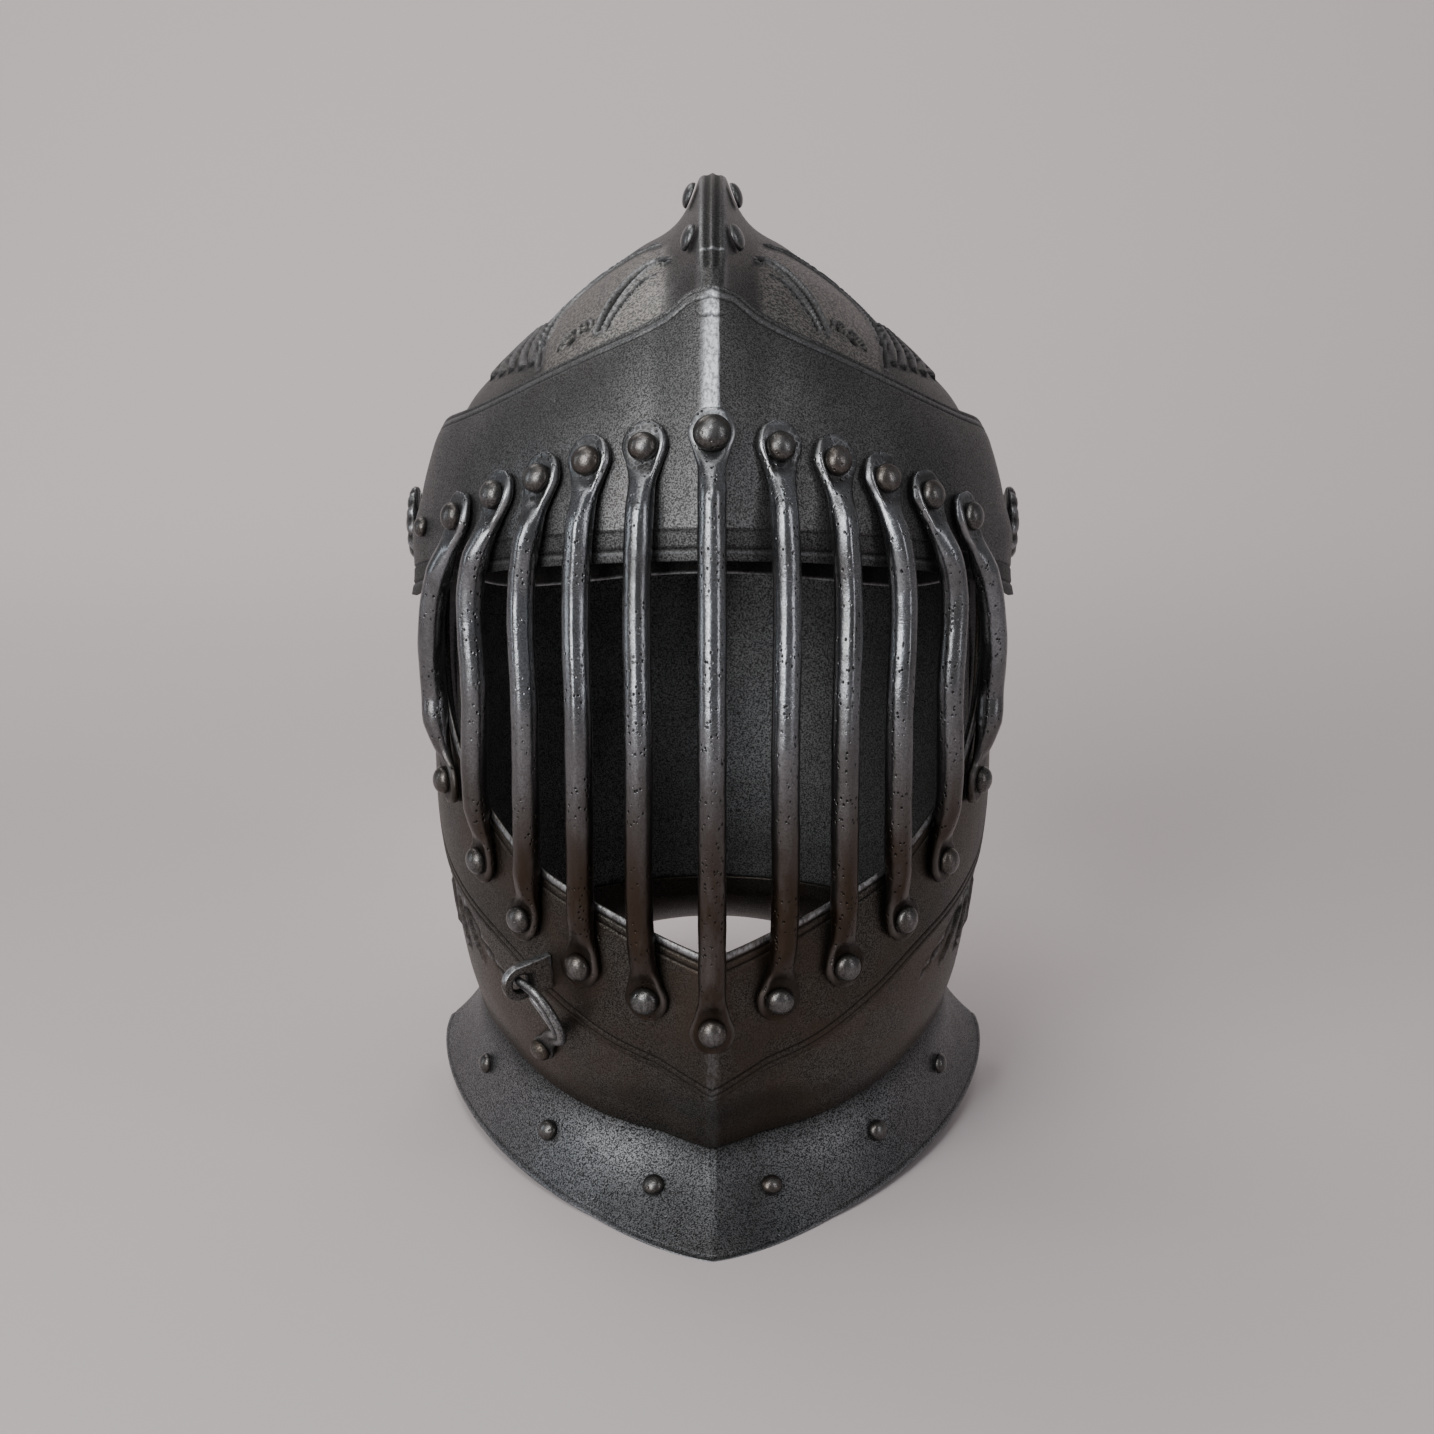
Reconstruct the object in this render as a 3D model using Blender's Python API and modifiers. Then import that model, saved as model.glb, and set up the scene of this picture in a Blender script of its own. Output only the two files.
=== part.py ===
"""A barred tournament helmet of plate: a combed skull, a visor whose eleven bars join a brow plate
to a chin plate, a lower bevor that swings on the same pivots, and a flared gorget, with a swivel
hook that locks the visor to the bevor. Metres, +Z up, the face looking along -Y."""

import math

import bmesh
import bpy
from mathutils import Matrix, Vector

# Driving sizes
PIVOT = Vector((0.0, 0.0, 0.2313))  # the side-to-side axis that visor and bevor turn on
WALL = 0.0018  # plate thickness
GAP = 0.0003  # between pieces that touch
KEEL_HALF = 0.019  # half width of the medial ridge's two facets
SIDE_REACH = 0.160  # depth of the cheek curves behind the pivots
PIN_HOLE = 0.0033

# Plate forms: plan sections of the outer surface at each height.
BROW_FORM = (  # height, half_width, front, keel
    (0.190, 0.1136, 0.1370, 0.006),
    (0.206, 0.1118, 0.1368, 0.006),
    (0.2180, 0.1088, 0.1362, 0.006),
    (0.2250, 0.1081, 0.1359, 0.006),
    (0.2313, 0.1080, 0.1356, 0.006),
    (0.2461, 0.1066, 0.1345, 0.006),
    (0.2643, 0.1022, 0.1290, 0.006),
    (0.2735, 0.0975, 0.1255, 0.006),
    (0.2848, 0.0885, 0.1205, 0.006),
    (0.2956, 0.0790, 0.1150, 0.006),
    (0.3127, 0.0600, 0.1042, 0.006),
    (0.3270, 0.0420, 0.0928, 0.005),
    (0.3350, 0.0300, 0.0843, 0.004),
)
CHIN_FORM = (  # height, half_width, front, keel
    (0.040, 0.0905, 0.1190, 0.010),
    (0.051, 0.0945, 0.1250, 0.010),
    (0.065, 0.0985, 0.1297, 0.009),
    (0.082, 0.1015, 0.1335, 0.008),
    (0.108, 0.1045, 0.1350, 0.006),
    (0.138, 0.1062, 0.1350, 0.004),
    (0.170, 0.1062, 0.1340, 0.003),
    (0.200, 0.1050, 0.1325, 0.002),
    (0.2150, 0.1040, 0.1320, 0.002),
    (0.2500, 0.1040, 0.1320, 0.002),
)
JAW_FORM = (  # height, half_width, front, keel
    (0.020, 0.0870, 0.1080, 0.010),
    (0.027, 0.0880, 0.1100, 0.010),
    (0.036, 0.0895, 0.1135, 0.010),
    (0.051, 0.0920, 0.1220, 0.010),
    (0.065, 0.0958, 0.1267, 0.009),
    (0.082, 0.0988, 0.1305, 0.008),
    (0.108, 0.1018, 0.1320, 0.006),
    (0.138, 0.1036, 0.1320, 0.004),
    (0.170, 0.1036, 0.1310, 0.003),
    (0.200, 0.1021, 0.1300, 0.002),
    (0.2150, 0.1010, 0.1290, 0.002),
    (0.2500, 0.1010, 0.1290, 0.002),
)

# Plate outlines: lower and upper edge heights, by turn in degrees from the front.
BROW_EDGES = (  # turn, low, high
    (0.0, 0.2429, 0.3270),
    (9.0, 0.2411, 0.3245),
    (17.5, 0.2396, 0.3172),
    (34.0, 0.2350, 0.3062),
    (46.0, 0.2297, 0.2968),
    (58.0, 0.2225, 0.2870),
    (68.0, 0.2158, 0.2798),
    (80.0, 0.2085, 0.2728),
    (90.0, 0.2060, 0.2640),
    (95.5, 0.2140, 0.2540),
    (98.5, 0.2280, 0.2400),
)
CHIN_EDGES = (  # turn, low, high
    (0.0, 0.0510, 0.1080),
    (10.5, 0.0590, 0.1141),
    (21.0, 0.0665, 0.1222),
    (34.0, 0.0800, 0.1318),
    (46.0, 0.0935, 0.1462),
    (55.0, 0.1002, 0.1584),
    (63.0, 0.1052, 0.1785),
    (73.0, 0.1130, 0.2150),
    (80.0, 0.1260, 0.2380),
    (88.0, 0.1620, 0.2468),
    (93.0, 0.1980, 0.2455),
    (96.0, 0.2230, 0.2390),
)
JAW_EDGES = (  # turn, low, high
    (0.0, 0.0265, 0.0960),
    (12.0, 0.0278, 0.1010),
    (24.0, 0.0305, 0.1080),
    (41.0, 0.0370, 0.1200),
    (57.0, 0.0465, 0.1440),
    (68.0, 0.0495, 0.1750),
    (78.0, 0.0500, 0.2160),
    (87.0, 0.0500, 0.2462),
    (93.0, 0.0500, 0.2455),
    (96.0, 0.0500, 0.2380),
    (99.0, 0.0500, 0.1900),
    (106.0, 0.0500, 0.0620),
)

# The skull: a fan of sections about a side-to-side axis that stays on the pivots over the dome and
# moves down to the neck behind them. Angles start at the brow, pass 90 at the top and 180 behind.
SKULL_SECTIONS = (  # station, angle, axis_y, axis_z, half_width, reach, arch, comb
    (0.0, 2.0, 0.000, 0.2313, 0.0987, 0.1190, 0.00, 0.001),
    (1.0, 15.0, 0.000, 0.2313, 0.0987, 0.1190, 0.05, 0.004),
    (2.0, 32.0, 0.000, 0.2313, 0.0987, 0.1170, 0.20, 0.0102),
    (3.0, 50.0, 0.000, 0.2313, 0.0987, 0.1130, 0.55, 0.0152),
    (4.0, 70.0, 0.000, 0.2313, 0.0987, 0.1095, 0.90, 0.0190),
    (5.0, 90.0, 0.000, 0.2313, 0.0987, 0.1080, 1.00, 0.0207),
    (6.0, 110.0, 0.000, 0.2313, 0.0987, 0.1100, 0.90, 0.0187),
    (7.0, 130.0, 0.000, 0.2313, 0.0987, 0.1150, 0.60, 0.0135),
    (8.0, 150.0, 0.000, 0.2313, 0.0987, 0.1205, 0.25, 0.0095),
    (9.0, 168.0, 0.001, 0.2290, 0.0987, 0.1230, 0.05, 0.0070),
    (10.0, 180.0, 0.004, 0.2100, 0.0980, 0.1210, 0.00, 0.0055),
    (11.0, 182.0, 0.009, 0.1750, 0.0972, 0.1120, 0.00, 0.0040),
    (12.0, 183.0, 0.016, 0.1350, 0.0958, 0.0990, 0.00, 0.0025),
    (13.0, 183.0, 0.023, 0.0950, 0.0918, 0.0865, 0.00, 0.0010),
    (14.0, 181.0, 0.029, 0.0500, 0.0840, 0.0790, 0.00, 0.0000),
)
SKULL_ARCH = (  # across, rise: the crown's pointed section, as shares of half width and reach
    (0.00, 1.000),
    (0.23, 0.955),
    (0.34, 0.898),
    (0.55, 0.750),
    (0.66, 0.655),
    (0.79, 0.545),
    (0.93, 0.395),
    (0.985, 0.200),
    (1.00, 0.000),
)
SKULL_ACROSS = (0.0395, 0.057, 0.09, 0.15, 0.24, 0.37, 0.52, 0.67, 0.80, 0.90, 0.97, 1.0)
SKULL_LIP_DROP = 14.0  # degrees that the face edge falls from its middle to the pivots
COMB_TOP_HALF = 0.0039
COMB_FLARE = 0.0060  # the flank falls away from the crest over this distance

# Gorget
GORGET_WALL = 0.0020
NECK_LAP = 0.006  # how far a gorget collar runs up inside the plate above it
RIM_CENTRE_Y = 0.030
FRONT_RIM = {"half_width": 0.1105, "reach": 0.1678, "power": 1.6, "side_height": 0.0125}
RIM_KEEL = 0.0058  # the point that the front rim draws out along its middle
RIM_KEEL_HALF = 0.034
FRONT_TURN = 103.0  # degrees from the front to the ends of the front plate
REAR_RIM = {"half_width": 0.1030, "reach": 0.1210, "height": 0.0225}
REAR_TURN = 97.0  # degrees from the back to the ends of the rear plate

# Face bars, from the middle outwards, each side alike
BARS = (  # number, top_x, top_height, middle_x, bottom_x, bottom_height
    (0, 0.0000, 0.2807, 0.0000, 0.0000, 0.0820),
    (1, 0.0211, 0.2755, 0.0238, 0.0218, 0.0901),
    (2, 0.0392, 0.2702, 0.0438, 0.0441, 0.0990),
    (3, 0.0553, 0.2636, 0.0624, 0.0642, 0.1109),
    (4, 0.0708, 0.2564, 0.0812, 0.0795, 0.1267),
    (5, 0.0857, 0.2468, 0.0992, 0.0928, 0.1494),
)
BAR_TAPER = (  # from_end, width, thickness
    (0.0000, 0.0060, 0.0026),
    (0.0022, 0.0118, 0.0029),
    (0.0080, 0.0158, 0.0030),
    (0.0145, 0.0118, 0.0031),
    (0.0210, 0.0092, 0.0062),
    (0.0300, 0.0094, 0.0094),
)
BAR_BOW = 0.075  # how far a bar bows forward between its plates, as a share of that span
BAR_SPANS = 6  # stretches along a bar's round middle
BAR_LIFT = 0.0006  # under a bar's flattened ends
CHIN_SWING = 0.6
END_RADIUS = 0.0080  # a bar's flattened end, beyond its rivet
BAR_RIVET = 0.0048
CENTRE_RIVET = 0.0060

GORGET_RIVETS = ((15.0, 0.61), (42.0, 0.56), (66.0, 0.53))  # turn, share of the way down
GORGET_RIVET = 0.0035
COMB_RIVETS = ((4.6, 0.060), (3.6, 0.060))  # station, across
COMB_RIVET = 0.0046
COMB_RIVET_LIFT = 0.0008

# Pivots: profile of the rosette, pin and inner nut as radius and distance from the middle plane
PIVOT_PROFILE = (
    (0.0000, 0.1157),
    (0.0034, 0.1153),
    (0.0048, 0.1142),
    (0.0118, 0.1140),
    (0.0136, 0.1128),
    (0.0136, 0.1108),
    (0.0060, 0.1108),
    (0.0060, 0.1086),
    (0.0030, 0.1086),
    (0.0030, 0.0958),
    (0.0055, 0.0958),
    (0.0055, 0.0938),
    (0.0000, 0.0938),
)

# Swivel hook on the lower bevor and the pierced lug of the upper one, on the wearer's right
HOOK_TURN, HOOK_HEIGHT = -39.5, 0.0569
HOOK_PATH = (  # towards_keel, up, lift: shares of the rivet's distance below the lug's hole
    (-0.024, -0.118, 0.167),
    (0.000, 0.000, 0.167),
    (0.061, 0.122, 0.188),
    (0.135, 0.245, 0.300),
    (0.245, 0.375, 0.500),
    (0.350, 0.500, 0.740),
    (0.420, 0.620, 0.930),
    (0.418, 0.735, 1.000),
    (0.358, 0.833, 1.000),
    (0.269, 0.926, 1.000),
    (0.174, 0.985, 1.000),
    (0.087, 0.996, 1.000),
    (0.000, 1.000, 1.000),
    (-0.105, 0.994, 1.000),
)
HOOK_TAPER = (  # from_eye, width, thickness
    (0.0000, 0.0040, 0.0020),
    (0.0016, 0.0082, 0.0020),
    (0.0048, 0.0100, 0.0020),
    (0.0085, 0.0078, 0.0020),
    (0.0120, 0.0062, 0.0022),
    (0.0200, 0.0056, 0.0026),
    (0.0340, 0.0046, 0.0026),
    (0.0450, 0.0028, 0.0025),
    (0.0600, 0.0024, 0.0024),
)
HOOK_RIVET = 0.0044
HOOK_RIVET_SEAT = 0.0029
LUG_HOLE_CENTRE = Vector((-0.0667, -0.1125, 0.0903))
LUG_OUT = Vector((-0.84, -0.52, -0.18)).normalized()
LUG_FACE = Vector((0.60, -0.75, -0.10))
LUG_WALL = 0.0018
LUG_HOLE = 0.0033
LUG_OUTLINE = (  # out, up: from the tip round to the root, the upper half
    (0.0066, 0.0000),
    (0.0060, 0.0028),
    (0.0044, 0.0050),
    (0.0020, 0.0063),
    (-0.0020, 0.0065),
    (-0.0110, 0.0066),
    (-0.0230, 0.0068),
    (-0.0230, 0.0035),
    (-0.0230, 0.0000),
)

METALS = {  # name: colour, roughness, metallic
    "blackened_steel": ((0.070, 0.066, 0.064), 0.48, 0.9),
    "browned_steel": ((0.080, 0.066, 0.056), 0.50, 0.9),
    "bright_steel": ((0.230, 0.225, 0.220), 0.30, 1.0),
}


def metal(name):
    found = bpy.data.materials.get(name)
    if found:
        return found
    colour, roughness, metallic = METALS[name]
    made = bpy.data.materials.new(name)
    made.use_nodes = True
    shader = made.node_tree.nodes["Principled BSDF"]
    shader.inputs["Base Color"].default_value = (*colour, 1.0)
    shader.inputs["Roughness"].default_value = roughness
    shader.inputs["Metallic"].default_value = metallic
    return made


def read_rows(rows, column, at):
    """A smooth curve through one column of a table, by its first column, that never overshoots."""
    places = [row[0] for row in rows]
    values = [row[column] for row in rows]
    last = len(rows) - 2
    k = max(0, min(last, sum(place <= at for place in places) - 1))
    slopes = [(values[i + 1] - values[i]) / (places[i + 1] - places[i]) for i in range(len(rows) - 1)]

    def slope_at(i):
        if i == 0:
            return slopes[0]
        if i == len(rows) - 1:
            return slopes[-1]
        before, after = slopes[i - 1], slopes[i]
        return 0.0 if before * after <= 0 else 2 * before * after / (before + after)

    span = places[k + 1] - places[k]
    t = (at - places[k]) / span
    start, end = slope_at(k) * span, slope_at(k + 1) * span
    if t < 0:
        return values[k] + start * t
    if t > 1:
        return values[k + 1] + end * (t - 1)
    return (
        values[k] * (1 + 2 * t) * (1 - t) ** 2
        + start * t * (1 - t) ** 2
        + values[k + 1] * t * t * (3 - 2 * t)
        + end * t * t * (t - 1)
    )


def plate_point(form, turn, height):
    """The outer surface of a face plate, at a turn in degrees from the front and a height."""
    half_width = read_rows(form, 1, height)
    front = read_rows(form, 2, height)
    keel = read_rows(form, 3, height)
    angle = math.radians(turn)
    x = half_width * math.sin(angle)
    ahead = math.cos(angle)
    if ahead < 0:
        return Vector((x, -SIDE_REACH * ahead, height))
    ridge = keel * max(0.0, 1 - abs(x) / KEEL_HALF)
    return Vector((x, -(front - keel) * ahead - ridge, height))


def plate_frame(form, turn, height):
    """Point, outward normal and upward direction on a plate's outer surface."""
    step = 0.5
    along = plate_point(form, turn + step, height) - plate_point(form, turn - step, height)
    up = plate_point(form, turn, height + 0.001) - plate_point(form, turn, height - 0.001)
    return plate_point(form, turn, height), along.cross(up).normalized(), up.normalized()


def skull_point(across, station):
    """The skull's outer surface: across runs from -1 to 1 of the half width, station down the table."""
    angle, axis_y, axis_z, half_width, reach, arch, comb = (
        read_rows(SKULL_SECTIONS, column, station) for column in range(1, 8)
    )
    share = min(1.0, abs(across))
    oval = math.sqrt(1 - share * share)
    rise = reach * ((1 - arch) * oval + arch * read_rows(SKULL_ARCH, 1, share))
    x = half_width * across
    flank = max(0.0, abs(x) - COMB_TOP_HALF)
    rise += comb * math.exp(-flank / COMB_FLARE) * (1 - share**4)
    angle -= SKULL_LIP_DROP * share * share * max(0.0, 1 - station / 1.5)
    turn = math.radians(angle)
    return Vector((x, axis_y - rise * math.cos(turn), axis_z + rise * math.sin(turn)))


def collection(name, hidden=False):
    made = bpy.data.collections.new(name)
    bpy.context.scene.collection.children.link(made)
    made.hide_render = hidden
    return made


def add(name, mesh, metal_name):
    made = bpy.data.objects.new(name, mesh)
    if not mesh.materials:
        mesh.materials.append(metal(metal_name))
    HELMET.objects.link(made)
    return made


def smooth(mesh, degrees=35):
    mesh.shade_smooth()
    mesh.set_sharp_from_angle(angle=math.radians(degrees))


def sheet(name, columns, rows, point, metal_name, wall=WALL):
    """A plate: a grid laid on point(column, row), both from 0 to 1, with its wall inwards."""
    grid = bmesh.new()
    bmesh.ops.create_grid(grid, x_segments=columns, y_segments=rows, size=0.5)
    for vertex in grid.verts:
        vertex.co = point(vertex.co.x + 0.5, vertex.co.y + 0.5)
    bmesh.ops.remove_doubles(grid, verts=grid.verts, dist=0.00002)
    mesh = bpy.data.meshes.new(name)
    grid.to_mesh(mesh)
    grid.free()
    smooth(mesh)
    made = add(name, mesh, metal_name)
    solid = made.modifiers.new("wall", "SOLIDIFY")
    solid.thickness = wall
    solid.offset = -1.0
    solid.use_even_offset = True
    return made


def face_plate(name, form, edges, columns, rows, metal_name):
    widest = edges[-1][0]

    def point(across, up):
        turn = widest * (2 * across - 1)
        low = read_rows(edges, 1, abs(turn))
        high = read_rows(edges, 2, abs(turn))
        return plate_point(form, turn, low + (high - low) * up)

    return sheet(name, columns, rows, point, metal_name)


def add_skull():
    sides = [-share for share in reversed(SKULL_ACROSS)] + list(SKULL_ACROSS)
    last_station = SKULL_SECTIONS[-1][0]

    def point(across, along):
        column = round(across * (len(sides) - 1))
        return skull_point(sides[column], last_station * along)

    return sheet("skull", len(sides) - 1, 20, point, "blackened_steel")


def neck_height(turn):
    return read_rows(JAW_EDGES, 1, min(abs(turn), 106.0))


def flared(collar, throat, rim, down):
    """A gorget's surface: a short collar inside the neck, then a concave flare out to the rim."""
    if down < 0.2:
        return collar.lerp(throat, down / 0.2)
    flare = (down - 0.2) / 0.8
    bend = throat.lerp(rim, 0.30)
    bend.z = throat.z + (rim.z - throat.z) * 0.62
    return throat.lerp(bend, flare).lerp(bend.lerp(rim, flare), flare)


def gorget_front_point(turn, down):
    height = neck_height(turn)
    inside = WALL + GAP + 0.0002
    neck, out, _ = plate_frame(JAW_FORM, turn, height)
    top, top_out, _ = plate_frame(JAW_FORM, turn, height + NECK_LAP)
    around = math.radians(turn * 96 / FRONT_TURN)
    power = 2 / FRONT_RIM["power"]
    x = FRONT_RIM["half_width"] * math.copysign(abs(math.sin(around)) ** power, around)
    ahead = math.cos(around)
    y = RIM_CENTRE_Y - FRONT_RIM["reach"] * math.copysign(abs(ahead) ** power, ahead)
    y -= RIM_KEEL * max(0.0, 1 - abs(x) / RIM_KEEL_HALF)
    rim = Vector((x, y, FRONT_RIM["side_height"] * (abs(turn) / 90) ** 2 - 0.0004))
    return flared(top - top_out * inside, neck - out * inside, rim, down)


def add_gorget_front():
    def point(across, up):
        return gorget_front_point(FRONT_TURN * (2 * across - 1), 1 - up)

    return sheet("gorget_front", 32, 5, point, "blackened_steel", GORGET_WALL)


def add_gorget_rear():
    last_station = SKULL_SECTIONS[-1][0]

    def point(across, down):
        turn = REAR_TURN * (1 - 2 * across)
        around = math.radians(turn)
        share = math.sin(around) * 0.985 if abs(turn) < 90 else math.copysign(0.985, turn)
        inward = 1 - (WALL + GAP + 0.0004) / 0.083
        throat = skull_point(share, last_station)
        collar = skull_point(share, last_station - 0.16)
        for ring in (throat, collar):
            ring.x *= inward
            ring.y = RIM_CENTRE_Y + (ring.y - RIM_CENTRE_Y) * inward
        if abs(turn) > 90:
            past = 0.080 * math.cos(around)
            throat.y = RIM_CENTRE_Y + past
            collar.y = RIM_CENTRE_Y + past
        back = math.cos(around)
        lift = max(0.0, (back - 0.30) / 0.70)
        rim = Vector((
            REAR_RIM["half_width"] * math.sin(around),
            RIM_CENTRE_Y + REAR_RIM["reach"] * back,
            REAR_RIM["height"] * lift - 0.0004,
        ))
        return flared(collar, throat, rim, down)

    return sheet("gorget_rear", 26, 5, lambda s, t: point(s, 1 - t), "browned_steel", GORGET_WALL)


def remove_scene():
    for thing in list(bpy.data.objects):
        bpy.data.objects.remove(thing)


def through_points(points):
    """A smooth curve through points, as a function of the distance along it, and their distances."""
    places = [0.0]
    for before, after in zip(points, points[1:]):
        places.append(places[-1] + (after - before).length)
    slopes = [(points[i + 1] - points[i]) / (places[i + 1] - places[i]) for i in range(len(points) - 1)]
    tangents = [slopes[0]]
    for i in range(1, len(points) - 1):
        before, after = places[i] - places[i - 1], places[i + 1] - places[i]
        tangents.append((slopes[i - 1] * after + slopes[i] * before) / (before + after))
    tangents.append(slopes[-1])

    def at(distance):
        k, t, span = which_span(places, distance)
        return (
            points[k] * ((1 + 2 * t) * (1 - t) ** 2)
            + tangents[k] * (span * t * (1 - t) ** 2)
            + points[k + 1] * (t * t * (3 - 2 * t))
            + tangents[k + 1] * (span * t * t * (t - 1))
        )

    return at, places


def which_span(places, distance):
    k = max(0, min(len(places) - 2, sum(place <= distance for place in places) - 1))
    span = places[k + 1] - places[k]
    return k, min(1.0, max(0.0, (distance - places[k]) / span)), span


def between(places, normals, distance):
    k, t, _ = which_span(places, distance)
    return normals[k].lerp(normals[k + 1], t).normalized()


def rod(name, keys, size, stations, sides, metal_name):
    """A closed rod along keys of (point, outward normal), its section size(distance) wide and thick."""
    path, places = through_points([point for point, _ in keys])
    normals = [normal for _, normal in keys]
    length = places[-1]
    stations = stations(length)
    grid = bmesh.new()
    bmesh.ops.create_grid(grid, x_segments=sides, y_segments=len(stations) - 1, size=0.5)
    step = 0.0004
    for vertex in grid.verts:
        distance = stations[round((vertex.co.y + 0.5) * (len(stations) - 1))]
        ahead = path(min(length, distance + step)) - path(max(0.0, distance - step))
        across = ahead.cross(between(places, normals, distance)).normalized()
        out = across.cross(ahead).normalized()
        width, thickness = size(distance, length)
        angle = 2 * math.pi * (vertex.co.x + 0.5)
        offset = across * (width / 2 * math.cos(angle)) + out * (thickness / 2 * math.sin(angle))
        vertex.co = path(distance) + offset
    bmesh.ops.remove_doubles(grid, verts=grid.verts, dist=0.00001)
    bmesh.ops.holes_fill(grid, edges=grid.edges, sides=sides)
    bmesh.ops.recalc_face_normals(grid, faces=grid.faces)
    mesh = bpy.data.meshes.new(name)
    grid.to_mesh(mesh)
    grid.free()
    smooth(mesh, 50)
    return add(name, mesh, metal_name)


def bar_size(distance, length):
    from_end = min(distance, length - distance, BAR_TAPER[-1][0])
    return read_rows(BAR_TAPER, 1, from_end), read_rows(BAR_TAPER, 2, from_end)


def bar_stations(length):
    ends = [row[0] for row in BAR_TAPER]
    inner = length - 2 * ends[-1]
    spans = [ends[-1] + inner * i / BAR_SPANS for i in range(1, BAR_SPANS)]
    return ends + spans + [length - end for end in reversed(ends)]


def turn_at(form, x, height):
    return math.degrees(math.asin(max(-1.0, min(1.0, x / read_rows(form, 1, height)))))


def along_plate(form, edges, column, x, end_x, start, guess, swing):
    """Keys of a bar's middle line, from its flattened end at a height to the plate's edge. A swing
    under 1 keeps most of the sideways bend near the flattened end."""
    edge = guess
    for _ in range(10):
        edge = read_rows(edges, column, abs(turn_at(form, end_x, edge)))
    keys = []
    from_end = 0.0
    before = None
    rivet_share = END_RADIUS / abs(edge - start)
    count = max(2, round(abs(edge - start) / 0.006))
    for i in range(count + 1):
        height = start + (edge - start) * i / count
        along = (i / count - rivet_share) / (1 - rivet_share)
        bend = math.copysign(abs(along) ** swing, along)
        turn = turn_at(form, x + (end_x - x) * bend, height)
        point, out, _ = plate_frame(form, turn, height)
        if before is not None:
            from_end += (point - before).length
        before = point
        thickness = bar_size(from_end, 1.0)[1]
        keys.append((point + out * (thickness / 2 + BAR_LIFT), out))
    return keys


def add_bar(name, side, row):
    """A face bar: flat on the brow plate, round and bowed over the sights, flat on the chin plate."""
    _, top_x, top_height, middle_x, bottom_x, bottom_height = row
    brow_x = side * middle_x * 0.95
    chin_x = side * (bottom_x + (middle_x - bottom_x) * 0.90) * 0.96
    start = top_height + END_RADIUS
    upper = along_plate(BROW_FORM, BROW_EDGES, 1, side * top_x, brow_x, start, 0.236, 1.0)
    start = bottom_height - END_RADIUS
    lower = along_plate(CHIN_FORM, CHIN_EDGES, 2, side * bottom_x, chin_x, start, 0.130, CHIN_SWING)
    out = (upper[-1][1] + lower[-1][1]).normalized()
    span = (upper[-1][0] - lower[-1][0]).length
    middle = (upper[-1][0] + lower[-1][0]) / 2 + out * (BAR_BOW * span)
    middle.x = side * middle_x
    keys = upper + [(middle, out)] + lower[::-1]
    return rod(name, keys, bar_size, bar_stations, 7, "bright_steel")


def turned(name, profile, place, axis, metal_name, steps=8):
    """A turned piece: a profile of (radius, height) rows, outermost first, spun about axis."""
    outline = bmesh.new()
    corners = [outline.verts.new((radius, 0.0, height)) for radius, height in profile]
    for before, after in zip(corners, corners[1:]):
        outline.edges.new((before, after))
    mesh = bpy.data.meshes.new(name)
    outline.to_mesh(mesh)
    outline.free()
    made = add(name, mesh, metal_name)
    made.location = place
    made.rotation_mode = "QUATERNION"
    made.rotation_quaternion = axis.to_track_quat("Z", "Y")
    spin = made.modifiers.new("spin", "SCREW")
    spin.angle = 2 * math.pi
    spin.steps = steps
    spin.render_steps = steps
    spin.use_merge_vertices = True
    spin.merge_threshold = 0.00005
    spin.use_smooth_shade = True
    return made


def add_rivet(name, place, axis, radius, metal_name):
    """A domed rivet head that sits a gap above place."""
    dome = [
        (0.0, radius * 0.62),
        (radius * 0.70, radius * 0.43),
        (radius, 0.0),
        (0.0, 0.0),
    ]
    return turned(name, dome, place + axis * GAP, axis, metal_name)


def surface_normal(point, first, second, step):
    """Outward normal of point(first, second), by small steps along both."""
    along = point(first + step, second) - point(first - step, second)
    down = point(first, second + step / 10) - point(first, second - step / 10)
    return along.cross(down).normalized()


def add_lug():
    """The pierced lug: a plate on edge that the hook's tip passes through."""
    up = LUG_OUT.cross(LUG_FACE).normalized()
    face = up.cross(LUG_OUT).normalized()
    lower = [(out, -rise) for out, rise in reversed(LUG_OUTLINE[1:-1])]
    outline = list(LUG_OUTLINE) + lower
    plate = bmesh.new()
    rings = []
    for ring in (outline, None):
        corners = []
        for i, (out, rise) in enumerate(outline):
            if ring is None:
                angle = 2 * math.pi * i / len(outline)
                out, rise = LUG_HOLE * math.cos(angle), LUG_HOLE * math.sin(angle)
            corners.append(plate.verts.new(LUG_HOLE_CENTRE + LUG_OUT * out + up * rise))
        rings.append(corners)
    for i in range(len(outline)):
        j = (i + 1) % len(outline)
        plate.faces.new((rings[0][i], rings[0][j], rings[1][j], rings[1][i]))
    mesh = bpy.data.meshes.new("visor_lug")
    plate.to_mesh(mesh)
    plate.free()
    smooth(mesh)
    made = add("visor_lug", mesh, "browned_steel")
    solid = made.modifiers.new("wall", "SOLIDIFY")
    solid.thickness = LUG_WALL
    solid.offset = 0.0
    return made


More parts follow.
